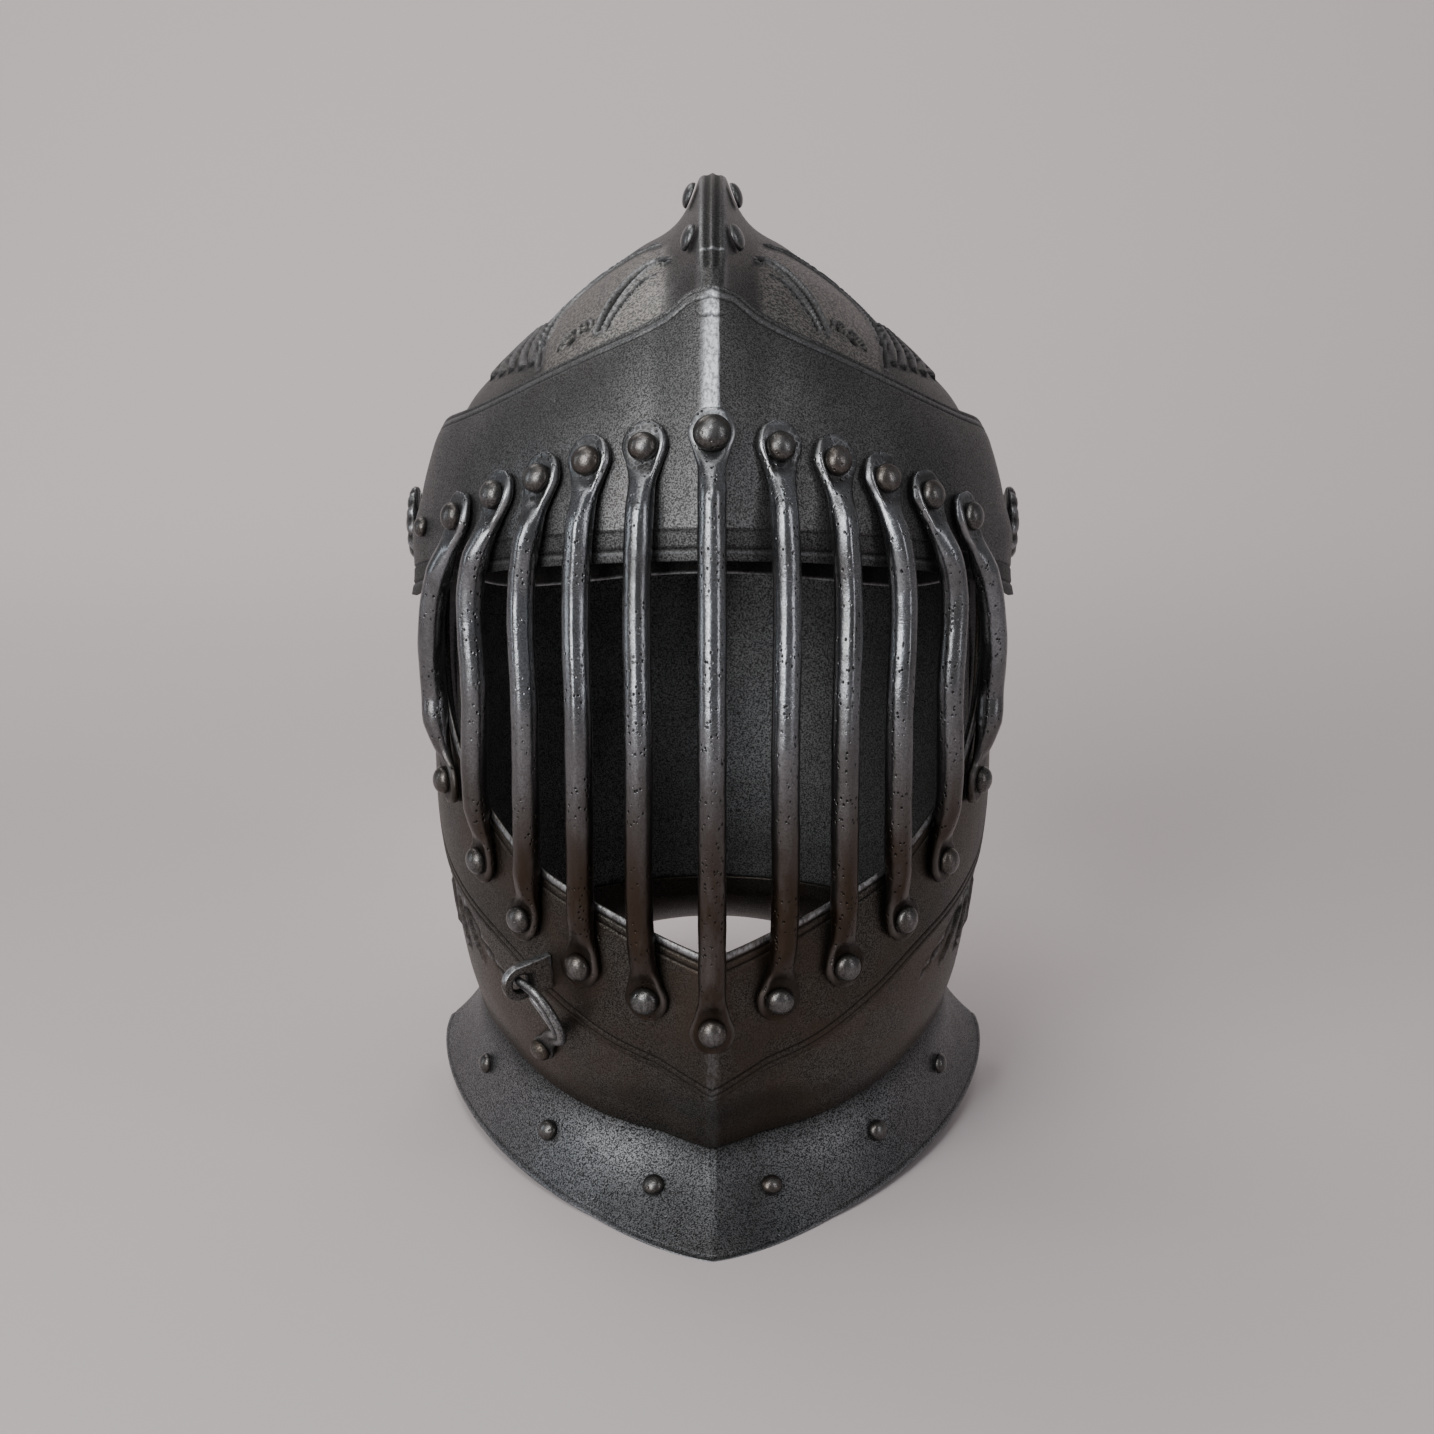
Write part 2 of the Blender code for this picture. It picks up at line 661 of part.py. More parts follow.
def add_hook():
    """The swivel hook: a flat eye under its rivet, a bowed shank and a tip that bends to the lug."""
    place, out, _ = plate_frame(JAW_FORM, HOOK_TURN, HOOK_HEIGHT)
    up = (LUG_HOLE_CENTRE - place).normalized()
    up = (up - out * up.dot(out)).normalized()
    keelwards = up.cross(out).normalized()
    lift = (LUG_HOLE_CENTRE - place).dot(out)
    reach = (LUG_HOLE_CENTRE - place).dot(up)
    keys = []
    for along_keel, along_up, off in HOOK_PATH:
        key = place + (keelwards * along_keel + up * along_up) * reach + out * (off * lift)
        keys.append((key, out))

    def size(distance, length):
        at = min(distance, HOOK_TAPER[-1][0])
        return read_rows(HOOK_TAPER, 1, at), read_rows(HOOK_TAPER, 2, at)

    def stations(length):
        flat = [row[0] for row in HOOK_TAPER[:-4]]
        return flat + [flat[-1] + (length - flat[-1]) * i / 10 for i in range(1, 11)]

    made = rod("hook", keys, size, stations, 8, "browned_steel")
    add_rivet("hook_rivet", place + out * HOOK_RIVET_SEAT, out, HOOK_RIVET, "browned_steel")
    return made


def cut(target, cutter):
    difference = target.modifiers.new(cutter.name, "BOOLEAN")
    difference.operation = "DIFFERENCE"
    difference.solver = "EXACT"
    difference.object = cutter


def cutter(made):
    """Move a piece out of the helmet and into the cutters."""
    HELMET.objects.unlink(made)
    CUTTERS.objects.link(made)
    made.hide_render = True
    made.display_type = "WIRE"
    return made


remove_scene()
HELMET = collection("tournament_helmet")
CUTTERS = collection("cutters", hidden=True)
skull = add_skull()
brow = face_plate("brow_plate", BROW_FORM, BROW_EDGES, 32, 4, "blackened_steel")
chin = face_plate("upper_bevor", CHIN_FORM, CHIN_EDGES, 32, 4, "browned_steel")
jaw = face_plate("lower_bevor", JAW_FORM, JAW_EDGES, 32, 5, "browned_steel")
front = add_gorget_front()
rear = add_gorget_rear()

for row in BARS:
    number, top_x, top_height, _, bottom_x, bottom_height = row
    for side in (-1, 1) if number else (1,):
        where = f"{'left' if side < 0 else 'right'}_{number}" if number else "centre"
        add_bar(f"bar_{where}", side, row)
        seat = bar_size(END_RADIUS, 1.0)[1] + BAR_LIFT + 0.0001
        head = CENTRE_RIVET if number == 0 else BAR_RIVET
        turn = turn_at(BROW_FORM, side * top_x, top_height)
        place, out, _ = plate_frame(BROW_FORM, turn, top_height)
        add_rivet(f"bar_rivet_top_{where}", place + out * seat, out, head, "bright_steel")
        turn = turn_at(CHIN_FORM, side * bottom_x, bottom_height)
        place, out, _ = plate_frame(CHIN_FORM, turn, bottom_height)
        add_rivet(f"bar_rivet_bottom_{where}", place + out * seat, out, BAR_RIVET, "bright_steel")

for number, (turn, down) in enumerate(GORGET_RIVETS, 1):
    for side, where in ((-1, "left"), (1, "right")):
        place = gorget_front_point(side * turn, down)
        out = -surface_normal(gorget_front_point, side * turn, down, 0.5)
        add_rivet(f"gorget_rivet_{where}_{number}", place + out * 0.0006, out, GORGET_RIVET, "blackened_steel")

for number, (station, across) in enumerate(COMB_RIVETS, 1):
    for side, where in ((-1, "left"), (1, "right")):
        place = skull_point(side * across, station)
        along = skull_point(side * across + 0.004, station) - skull_point(side * across - 0.004, station)
        down = skull_point(side * across, station + 0.05) - skull_point(side * across, station - 0.05)
        out = along.cross(down).normalized()
        out = -out if out.z < 0 else out
        name = f"comb_rivet_{where}_{number}"
        add_rivet(name, place + out * COMB_RIVET_LIFT, out, COMB_RIVET, "blackened_steel")

for side, where in ((-1, "left"), (1, "right")):
    middle = Vector((0.0, PIVOT.y, PIVOT.z))
    turned(f"pivot_{where}", PIVOT_PROFILE, middle, Vector((side, 0, 0)), "blackened_steel", 12)

bore_mesh = bmesh.new()
bmesh.ops.create_cone(
    bore_mesh,
    cap_ends=True,
    segments=16,
    radius1=PIN_HOLE,
    radius2=PIN_HOLE,
    depth=0.26,
    matrix=Matrix.Translation(PIVOT) @ Matrix.Rotation(math.pi / 2, 4, "Y"),
)
mesh = bpy.data.meshes.new("pivot_bore")
bore_mesh.to_mesh(mesh)
bore_mesh.free()
bore = cutter(add("pivot_bore", mesh, "blackened_steel"))
for plate in (skull, jaw, chin, brow):
    cut(plate, bore)

floor_mesh = bmesh.new()
bmesh.ops.create_cube(floor_mesh, size=0.5, matrix=Matrix.Translation((0.0, 0.0, -0.25)))
mesh = bpy.data.meshes.new("floor")
floor_mesh.to_mesh(mesh)
floor_mesh.free()
floor = cutter(add("floor", mesh, "blackened_steel"))
for plate in (front, rear):
    cut(plate, floor)

place, out, _ = plate_frame(BROW_FORM, -70.0, 0.2375)
add_rivet("side_rivet", place + out * 0.0002, out, GORGET_RIVET, "blackened_steel")

add_hook()
lug = add_lug()


def trim_point(across, up):
    place, out, _ = plate_frame(CHIN_FORM, -48 + 28 * across, 0.078 + 0.040 * up)
    return place + out * GAP


trim = cutter(sheet("lug_trim", 8, 4, trim_point, "browned_steel", 0.012))
cut(lug, trim)
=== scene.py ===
"""The looks of a barred tournament helmet: high resolution plates, bars, rivets and hook laid on the
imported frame, with their metals, on a pale studio floor. Metres, +Z up, the face looking along -Y."""

import math

import bmesh
import bpy
import numpy as np
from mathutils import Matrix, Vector


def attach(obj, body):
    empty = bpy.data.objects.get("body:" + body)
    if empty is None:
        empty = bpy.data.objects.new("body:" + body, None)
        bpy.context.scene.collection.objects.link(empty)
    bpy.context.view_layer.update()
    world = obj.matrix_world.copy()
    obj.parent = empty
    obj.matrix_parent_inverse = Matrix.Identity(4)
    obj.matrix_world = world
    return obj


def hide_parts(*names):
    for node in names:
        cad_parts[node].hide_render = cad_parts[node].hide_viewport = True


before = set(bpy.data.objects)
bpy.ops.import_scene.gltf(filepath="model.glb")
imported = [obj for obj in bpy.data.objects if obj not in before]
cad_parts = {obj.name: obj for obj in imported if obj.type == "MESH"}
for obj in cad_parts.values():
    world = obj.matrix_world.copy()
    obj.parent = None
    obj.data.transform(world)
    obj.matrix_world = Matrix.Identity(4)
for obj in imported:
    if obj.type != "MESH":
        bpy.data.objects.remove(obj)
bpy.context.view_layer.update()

# Driving sizes, as the frame has them
PIVOT = Vector((0.0, 0.0, 0.2313))
WALL = 0.0018
GAP = 0.0003
KEEL_HALF = 0.019
KEEL_FLAT = 0.0021  # half width of the flat that the polisher left along the medial ridge
KEEL_ROUNDING = 0.010
SIDE_REACH = 0.160
SIDES = ((-1, "left"), (1, "right"))  # as the viewer sees them
SAME_PLACE = 0.000004  # corners closer than this are joined
BORE = 0.0045  # the plates are open round the pivot pins

PLATE_COLUMNS = 300
EDGE_BAND = 0.0125  # along a plate's edges, where the rows lie close together for the cut lines

BROW_FORM = (  # height, half_width, front, keel
    (0.190, 0.1136, 0.1370, 0.006),
    (0.206, 0.1118, 0.1368, 0.006),
    (0.2180, 0.1088, 0.1362, 0.006),
    (0.2250, 0.1081, 0.1359, 0.006),
    (0.2313, 0.1080, 0.1356, 0.006),
    (0.2461, 0.1066, 0.1345, 0.006),
    (0.2643, 0.1022, 0.1290, 0.006),
    (0.2735, 0.0975, 0.1255, 0.006),
    (0.2848, 0.0885, 0.1205, 0.006),
    (0.2956, 0.0790, 0.1150, 0.006),
    (0.3127, 0.0600, 0.1042, 0.006),
    (0.3270, 0.0420, 0.0928, 0.005),
    (0.3350, 0.0300, 0.0843, 0.004),
)
BROW_SWELL = (  # height, how far the brow plate's flanks swell out ahead of the pivots
    (0.190, 0.0018),
    (0.206, 0.0024),
    (0.2313, 0.0044),
    (0.2461, 0.0020),
    (0.2643, 0.0012),
    (0.2850, 0.0010),
    (0.3127, 0.0000),
    (0.3350, 0.0000),
)
SWELL_STARTS, SWELL_FULL, SWELL_ENDS = 60.0, 76.0, 86.5  # turns
SWELL_FADE = 0.93  # share of the swell that is gone at the pivots
CHIN_FORM = (  # height, half_width, front, keel
    (0.040, 0.0905, 0.1190, 0.010),
    (0.051, 0.0945, 0.1250, 0.010),
    (0.065, 0.0985, 0.1297, 0.009),
    (0.082, 0.1015, 0.1335, 0.008),
    (0.108, 0.1045, 0.1350, 0.006),
    (0.138, 0.1062, 0.1350, 0.004),
    (0.170, 0.1062, 0.1340, 0.003),
    (0.200, 0.1050, 0.1325, 0.002),
    (0.2150, 0.1040, 0.1320, 0.002),
    (0.2500, 0.1040, 0.1320, 0.002),
)
JAW_FORM = (  # height, half_width, front, keel
    (0.020, 0.0870, 0.1080, 0.010),
    (0.027, 0.0880, 0.1100, 0.010),
    (0.036, 0.0895, 0.1135, 0.010),
    (0.051, 0.0920, 0.1220, 0.010),
    (0.065, 0.0958, 0.1267, 0.009),
    (0.082, 0.0988, 0.1305, 0.008),
    (0.108, 0.1018, 0.1320, 0.006),
    (0.138, 0.1036, 0.1320, 0.004),
    (0.170, 0.1036, 0.1310, 0.003),
    (0.200, 0.1021, 0.1300, 0.002),
    (0.2150, 0.1010, 0.1290, 0.002),
    (0.2500, 0.1010, 0.1290, 0.002),
)
BROW_EDGES = (  # turn, low, high
    (0.0, 0.2429, 0.3270),
    (9.0, 0.2411, 0.3245),
    (17.5, 0.2396, 0.3172),
    (34.0, 0.2350, 0.3062),
    (46.0, 0.2297, 0.2968),
    (58.0, 0.2225, 0.2870),
    (68.0, 0.2158, 0.2798),
    (80.0, 0.2085, 0.2728),
    (90.0, 0.2060, 0.2640),
    (95.5, 0.2140, 0.2540),
    (98.5, 0.2280, 0.2400),
)
CHIN_EDGES = (  # turn, low, high
    (0.0, 0.0510, 0.1080),
    (10.5, 0.0590, 0.1141),
    (21.0, 0.0665, 0.1222),
    (34.0, 0.0800, 0.1318),
    (46.0, 0.0935, 0.1462),
    (55.0, 0.1002, 0.1584),
    (63.0, 0.1052, 0.1785),
    (73.0, 0.1130, 0.2150),
    (80.0, 0.1260, 0.2380),
    (88.0, 0.1620, 0.2468),
    (93.0, 0.1980, 0.2455),
    (96.0, 0.2230, 0.2390),
)
JAW_EDGES = (  # turn, low, high
    (0.0, 0.0265, 0.0960),
    (12.0, 0.0278, 0.1010),
    (24.0, 0.0305, 0.1080),
    (41.0, 0.0370, 0.1200),
    (57.0, 0.0465, 0.1440),
    (68.0, 0.0495, 0.1750),
    (78.0, 0.0500, 0.2160),
    (87.0, 0.0500, 0.2462),
    (93.0, 0.0500, 0.2455),
    (96.0, 0.0500, 0.2380),
    (99.0, 0.0500, 0.1900),
    (106.0, 0.0500, 0.0620),
)
SKULL_SECTIONS = (  # station, angle, axis_y, axis_z, half_width, reach, arch, comb
    (0.0, 2.0, 0.000, 0.2313, 0.0987, 0.1190, 0.00, 0.001),
    (1.0, 15.0, 0.000, 0.2313, 0.0987, 0.1190, 0.05, 0.004),
    (2.0, 32.0, 0.000, 0.2313, 0.0987, 0.1170, 0.20, 0.0102),
    (3.0, 50.0, 0.000, 0.2313, 0.0987, 0.1130, 0.55, 0.0152),
    (4.0, 70.0, 0.000, 0.2313, 0.0987, 0.1095, 0.90, 0.0190),
    (5.0, 90.0, 0.000, 0.2313, 0.0987, 0.1080, 1.00, 0.0207),
    (6.0, 110.0, 0.000, 0.2313, 0.0987, 0.1100, 0.90, 0.0187),
    (7.0, 130.0, 0.000, 0.2313, 0.0987, 0.1150, 0.60, 0.0135),
    (8.0, 150.0, 0.000, 0.2313, 0.0987, 0.1205, 0.25, 0.0095),
    (9.0, 168.0, 0.001, 0.2290, 0.0987, 0.1230, 0.05, 0.0070),
    (10.0, 180.0, 0.004, 0.2100, 0.0980, 0.1210, 0.00, 0.0055),
    (11.0, 182.0, 0.009, 0.1750, 0.0972, 0.1120, 0.00, 0.0040),
    (12.0, 183.0, 0.016, 0.1350, 0.0958, 0.0990, 0.00, 0.0025),
    (13.0, 183.0, 0.023, 0.0950, 0.0918, 0.0865, 0.00, 0.0010),
    (14.0, 181.0, 0.029, 0.0500, 0.0840, 0.0790, 0.00, 0.0000),
)
LAST_STATION = SKULL_SECTIONS[-1][0]
SKULL_ARCH = (  # across, rise
    (0.00, 1.000),
    (0.23, 0.955),
    (0.34, 0.898),
    (0.55, 0.750),
    (0.66, 0.655),
    (0.79, 0.545),
    (0.93, 0.395),
    (0.985, 0.200),
    (1.00, 0.000),
)
CROWN_HALF_MM = 98.7
SKULL_LIP_DROP = 14.0
COMB_TOP_HALF = 0.0041
COMB_WIDER = 0.0008  # how much wider the comb is once it is clear of the brow plate
COMB_WIDENS = (2.95, 3.4)  # stations over which it does
COMB_SHOULDER = 0.0007  # rounding of the comb's two upper edges
COMB_FLARE = 0.0060
COMB_SEAM = 3.30  # station where the crest's two halves meet
SKULL_COLUMNS = (  # share of the columns, across: close together on the comb and the carved flank
    (0.00, 0.000),
    (0.12, 0.060),
    (0.19, 0.150),
    (0.87, 0.810),
    (0.93, 0.920),
    (0.98, 0.985),
    (1.00, 1.000),
)
SKULL_ROWS = (  # share of the rows, station: close together over the carved front of the crown
    (0.00, 0.0),
    (0.02, 0.06),
    (0.05, 0.6),
    (0.09, 2.8),
    (0.70, 5.0),
    (0.77, 6.5),
    (1.00, 14.0),
)

GORGET_WALL = 0.0020
NECK_LAP = 0.006
FRONT_PLAY, REAR_PLAY = 0.0002, 0.0004  # between the collars and the necks that they sit in
NECK_RADIUS, NECK_AHEAD = 0.083, 0.080
REAR_WIDEST = 0.985  # share of the skull's half width
REAR_LAP = 0.16  # in stations
COLLAR_SHARE = 0.2  # of a gorget's way down, for the collar inside the neck
FLOOR_DIP = 0.0004  # how far the rims dip before they are set down on the floor
RIM_CENTRE_Y = 0.030
FRONT_RIM = {"half_width": 0.1105, "reach": 0.1660, "power": 1.6, "side_height": 0.0125}
RIM_KEEL = 0.0076
RIM_KEEL_HALF = 0.042
FRONT_TURN = 103.0
REAR_RIM = {"half_width": 0.1030, "reach": 0.1210, "height": 0.0225}
REAR_TURN = 97.0

BARS = (  # number, top_x, top_height, middle_x, bottom_x, bottom_height, arris
    (0, 0.0000, 0.2807, 0.0000, 0.0000, 0.0820, 0.00),
    (1, 0.0211, 0.2755, 0.0238, 0.0218, 0.0901, 0.03),
    (2, 0.0392, 0.2702, 0.0438, 0.0441, 0.0990, 0.10),
    (3, 0.0553, 0.2636, 0.0624, 0.0642, 0.1109, 0.09),
    (4, 0.0708, 0.2564, 0.0812, 0.0795, 0.1267, 0.02),
    (5, 0.0857, 0.2468, 0.0992, 0.0928, 0.1494, 0.00),
)
BAR_TAPER = (  # from_end, width, thickness
    (0.0000, 0.0060, 0.0026),
    (0.0022, 0.0118, 0.0029),
    (0.0080, 0.0158, 0.0030),
    (0.0145, 0.0118, 0.0031),
    (0.0210, 0.0092, 0.0062),
    (0.0300, 0.0094, 0.0094),
)
BAR_BOW = 0.075
BAR_LIFT = 0.0006
# How far out the bars leave the plates, as shares of their middle's distance from the keel
BROW_SHARE, OUTER_BROW_SHARE, CHIN_SHARE = 0.95, 0.92, 0.96
BROW_GUESS, CHIN_GUESS = 0.236, 0.130  # heights that the search for a plate's edge starts from
CHIN_SWING = 0.6
END_RADIUS = 0.0080
END_RIM, END_DISH = 0.00015, 0.00015  # of a bar's flattened ends
TOP_LIP, BOTTOM_LIP = 0.00110, 0.00050  # raised lip along their keelward side
ARRIS_LEAN, ARRIS_HALF = 0.32, 0.30  # radians: a bar's arris, off its front and half as wide
BAR_RIVET = 0.0051
CENTRE_RIVET = 0.0063
GORGET_RIVETS = ((15.0, 0.61), (42.0, 0.56), (66.0, 0.53))  # turn, share of the way down
GORGET_RIVET = 0.0040
COMB_RIVETS = ((4.6, 0.068), (3.6, 0.068))  # station, across
COMB_RIVET = 0.0050
COMB_RIVET_LIFT = 0.0008
COMB_RIVET_DOME = 0.58
GORGET_RIVET_LIFT = 0.0006
SEAT_PLAY = 0.0001  # between a bar's end and its rivet
SIDE_RIVET_TURN, SIDE_RIVET_HEIGHT, SIDE_RIVET_LIFT = -70.0, 0.2375, 0.0002
DOME_STEPS = 9
RIVET_SIDES = 28
RIVET_WALL = 0.06  # share of a rivet's radius

ROSETTE = (  # radius, distance from the middle plane, petal depth
    (0.0000, 0.1157, 0.0000),
    (0.0026, 0.1155, 0.0000),
    (0.0042, 0.1146, 0.0000),
    (0.0050, 0.1139, 0.0000),
    (0.0066, 0.1141, 0.0001),
    (0.0092, 0.1143, 0.0002),
    (0.0114, 0.1138, 0.0003),
    (0.0130, 0.1128, 0.0003),
    (0.0136, 0.1118, 0.0002),
    (0.0134, 0.1109, 0.0002),
    (0.0060, 0.1108, 0.0000),
    (0.0060, 0.1087, 0.0000),
    (0.0030, 0.1086, 0.0000),
    (0.0030, 0.0958, 0.0000),
    (0.0050, 0.0957, 0.0000),
    (0.0055, 0.0953, 0.0000),
    (0.0054, 0.0941, 0.0000),
    (0.0046, 0.0938, 0.0000),
    (0.0000, 0.0938, 0.0000),
)
ROSETTE_PETALS = 12

HOOK_TURN, HOOK_HEIGHT = -39.5, 0.0569
HOOK_PATH = (  # towards_keel, up, lift: shares of the rivet's distance below the lug's hole
    (-0.024, -0.118, 0.167),
    (0.000, 0.000, 0.167),
    (0.061, 0.122, 0.188),
    (0.135, 0.245, 0.300),
    (0.245, 0.375, 0.500),
    (0.350, 0.500, 0.740),
    (0.420, 0.620, 0.930),
    (0.418, 0.735, 1.000),
    (0.358, 0.833, 1.000),
    (0.269, 0.926, 1.000),
    (0.174, 0.985, 1.000),
    (0.087, 0.996, 1.000),
    (0.000, 1.000, 1.000),
    (-0.105, 0.994, 1.000),
)
HOOK_TAPER = (  # from_eye, width, thickness
    (0.0000, 0.0040, 0.0020),
    (0.0016, 0.0082, 0.0020),
    (0.0048, 0.0100, 0.0020),
    (0.0085, 0.0078, 0.0022),
    (0.0120, 0.0062, 0.0028),
    (0.0200, 0.0064, 0.0036),
    (0.0340, 0.0062, 0.0040),
    (0.0450, 0.0050, 0.0038),
    (0.0600, 0.0038, 0.0030),
)
SPLIT_DEPTH = 0.0009  # of the groove along the shank
SPLIT_STARTS, SPLIT_ENDS = (0.012, 0.020), (0.002, 0.010)  # from the eye, from the tip
HOOK_DRAWN = (0.019, 0.030)  # from the eye: where the shank has been drawn out round
HOOK_RIVET = 0.0044
# The folded strap's second strand: its width, and (place on the hook's path, distance from it)
STRAND_WIDTH = 0.0025
STRAND_ASIDE = ((6, 0.0014), (7, 0.0024), (8, 0.0033), (9, 0.0039), (10, 0.0042))
HOOK_RIVET_SEAT = 0.0029
LUG_HOLE_CENTRE = Vector((-0.0667, -0.1125, 0.0903))
LUG_OUT = Vector((-0.84, -0.52, -0.18)).normalized()
LUG_FACE = Vector((0.60, -0.75, -0.10))
LUG_WALL = 0.0018
LUG_STOUTER = 1.7  # times the frame's wall
LUG_HOLE = 0.0033
LUG_ROOT = -0.0126  # how far in from its hole the lug meets the plate
LUG_OUTLINE = (  # out, up: from the tip to the root, the upper half
    (0.0066, 0.0000),
    (0.0060, 0.0028),
    (0.0044, 0.0050),
    (0.0020, 0.0063),
    (-0.0020, 0.0065),
    (LUG_ROOT, 0.0066),
)

# Carving, one side of it; the other side mirrors it. Each stroke has a name, its cut, its half
# widths at the start, middle and end, its height and its path, in mm.
SKULL_STROKES = (  # path: x, station
    ("rim_band", "blade", (0.8, 2.6, 2.2), 1.5, (
        (-19.0, 4.36), (-27.0, 4.55), (-36.0, 4.7), (-45.0, 4.72), (-52.5, 4.52), (-57.5, 4.15),
        (-59.5, 3.7))),
    ("leaf_edge", "blade", (1.8, 1.3, 1.0), 1.1, (
        (-59.0, 3.85), (-60.2, 3.5), (-60.6, 3.22), (-60.4, 3.0))),
    ("tendril", "blade", (0.8, 2.7, 1.5), 1.5, (
        (-15.6, 3.72), (-17.6, 3.84), (-20.8, 3.87), (-24.0, 3.83), (-28.4, 3.71), (-32.8, 3.53),
        (-36.2, 3.3), (-39.0, 3.04))),
    ("inner_tendril", "blade", (0.7, 1.1, 0.8), 1.0, (
        (-20.0, 3.6), (-23.5, 3.58), (-27.0, 3.49), (-31.0, 3.33), (-34.6, 3.14), (-36.0, 3.0))),
    ("scroll", "leaf", (0.6, 1.2, 1.0), 1.0, (
        (-53.0, 3.1), (-51.0, 3.24), (-48.0, 3.31), (-46.0, 3.25), (-46.2, 3.16))),
    ("scroll_bud", "leaf", (0.8, 1.1, 0.7), 0.9, (
        (-45.2, 3.34), (-43.2, 3.34), (-41.8, 3.24), (-42.0, 3.15))),
    ("lobe_1", "leaf", (1.6, 2.2, 1.2), 1.5, (
        (-60.0, 4.35), (-62.6, 3.95), (-63.6, 3.55), (-63.4, 3.25))),
    ("lobe_2", "leaf", (1.6, 2.1, 1.2), 1.5, (
        (-62.0, 4.6), (-66.2, 4.2), (-67.6, 3.75), (-67.4, 3.4))),
    ("lobe_3", "leaf", (1.6, 2.2, 1.2), 1.6, (
        (-64.0, 4.9), (-69.8, 4.5), (-71.8, 4.05), (-71.6, 3.65))),
    ("lobe_4", "leaf", (1.6, 2.3, 1.3), 1.7, (
        (-66.5, 5.2), (-73.4, 4.85), (-76.0, 4.4), (-76.0, 3.95))),
    ("lobe_5", "leaf", (1.6, 2.3, 1.3), 1.6, (
        (-69.0, 5.55), (-76.6, 5.3), (-79.8, 4.9), (-80.4, 4.45))),
)
RIM_PATH = SKULL_STROKES[0][-1]
SCROLL_DEPTH = 0.0009
FLUTE_ASIDE, FLUTE_HALF, FLUTE_DEPTH = 0.00175, 0.00105, 0.00035  # the two cut along the crest
STIPPLE_STARTS, STIPPLE_ENDS = (14.0, 18.5), (57.0, 59.5)  # mm from the keel
SCROLL_HOLLOWS = ((-49.2, 3.13, 2.1), (-43.4, 3.20, 1.5))  # x in mm, station, radius in mm
JAW_STROKES = (  # path: turn, height
    ("stem", "blade", (1.1, 1.3, 0.9), 0.9, (
        (-84.0, 116.0), (-76.0, 107.5), (-66.0, 98.0), (-57.0, 88.5), (-50.0, 80.0))),
    ("spike", "leaf", (0.3, 1.1, 0.3), 1.1, (
        (-69.5, 108.0), (-68.0, 104.0), (-65.5, 99.5))),
    ("petal_1", "leaf", (0.4, 1.8, 0.8), 1.2, (
        (-66.0, 98.5), (-64.0, 92.0), (-61.0, 86.0), (-58.0, 80.0))),
    ("petal_2", "leaf", (0.4, 1.9, 0.8), 1.2, (
        (-70.0, 101.0), (-70.0, 93.0), (-68.5, 86.0), (-66.5, 79.0))),
    ("petal_3", "leaf", (0.4, 1.9, 0.8), 1.2, (
        (-75.0, 105.0), (-76.5, 97.0), (-76.0, 89.0), (-75.0, 82.0))),
    ("petal_4", "leaf", (0.4, 1.8, 0.8), 1.1, (
        (-80.0, 111.0), (-83.0, 103.0), (-84.0, 95.0), (-84.0, 87.0))),
)


PLATE_STEELS = {  # dark, light, warmth, patina, grain size, grain depth, roughness
    "inside": (0.07, 0.33, -0.02, 0.10, 0.00065, 0.00012, 0.58),
    "skull": (0.032, 0.112, 0.01, 0.04, 0.00055, 0.00008, 0.44),
    "brow": (0.034, 0.155, -0.01, 0.08, 0.00052, 0.00009, 0.47),
    "chin": (0.017, 0.080, 0.16, 0.80, 0.00055, 0.00008, 0.44),
    "jaw": (0.020, 0.115, 0.12, 0.60, 0.00055, 0.00008, 0.45),
    "gorget": (0.020, 0.215, -0.05, 0.05, 0.00055, 0.00012, 0.46),
    "brown": (0.030, 0.110, 0.14, 0.70, 0.00055, 0.00008, 0.44),
    "pivot": (0.060, 0.220, 0.0, 0.15, 0.00055, 0.00008, 0.38),
    "dark_rivet": (0.085, 0.160, -0.02, 0.10, 0.00055, 0.00005, 0.30),
    "rivet": (0.045, 0.115, 0.04, 0.45, 0.00060, 0.00005, 0.31),
    "lug": (0.040, 0.150, 0.06, 0.40, 0.00055, 0.00008, 0.38),
    "hook": (0.050, 0.220, 0.0, 0.15, 0.00060, 0.00008, 0.36),
}
BAR_LOOK = (0.26, 0.07, 1.0)  # bright, tarnish, patina

HAMMERING = {  # depth, size, seed
    "skull": (0.00012, 0.05, 3),
    "brow": (0.00012, 0.045, 4),
    "chin": (0.00010, 0.040, 5),
    "jaw": (0.00010, 0.040, 6),
}

# Cut lines along the plates' edges: distance from the edge, half width, depth
BROW_LOW_LINES = ((0.0040, 0.00050, 0.00055), (0.0098, 0.00045, 0.00045))
BROW_HIGH_LINES = ((0.0012, 0.00036, 0.00035), (0.0036, 0.00042, 0.00045))
CHIN_LOW_LINES = ((0.0020, 0.00040, 0.00035), (0.0046, 0.00045, 0.00045))
CHIN_HIGH_LINES = ((0.0038, 0.00045, 0.00045), (0.0068, 0.00045, 0.00045))
KEEL_LINE, KEEL_LINE_HALF = (0.0088, 0.00055, 0.00050), 0.0048  # the short one over the keel
SIGHT_BEAD = (0.0016, 0.0017, 0.0011)  # the rolled sight edge: distance, half width, height


# ---------------------------------------------------------------- curves and surfaces


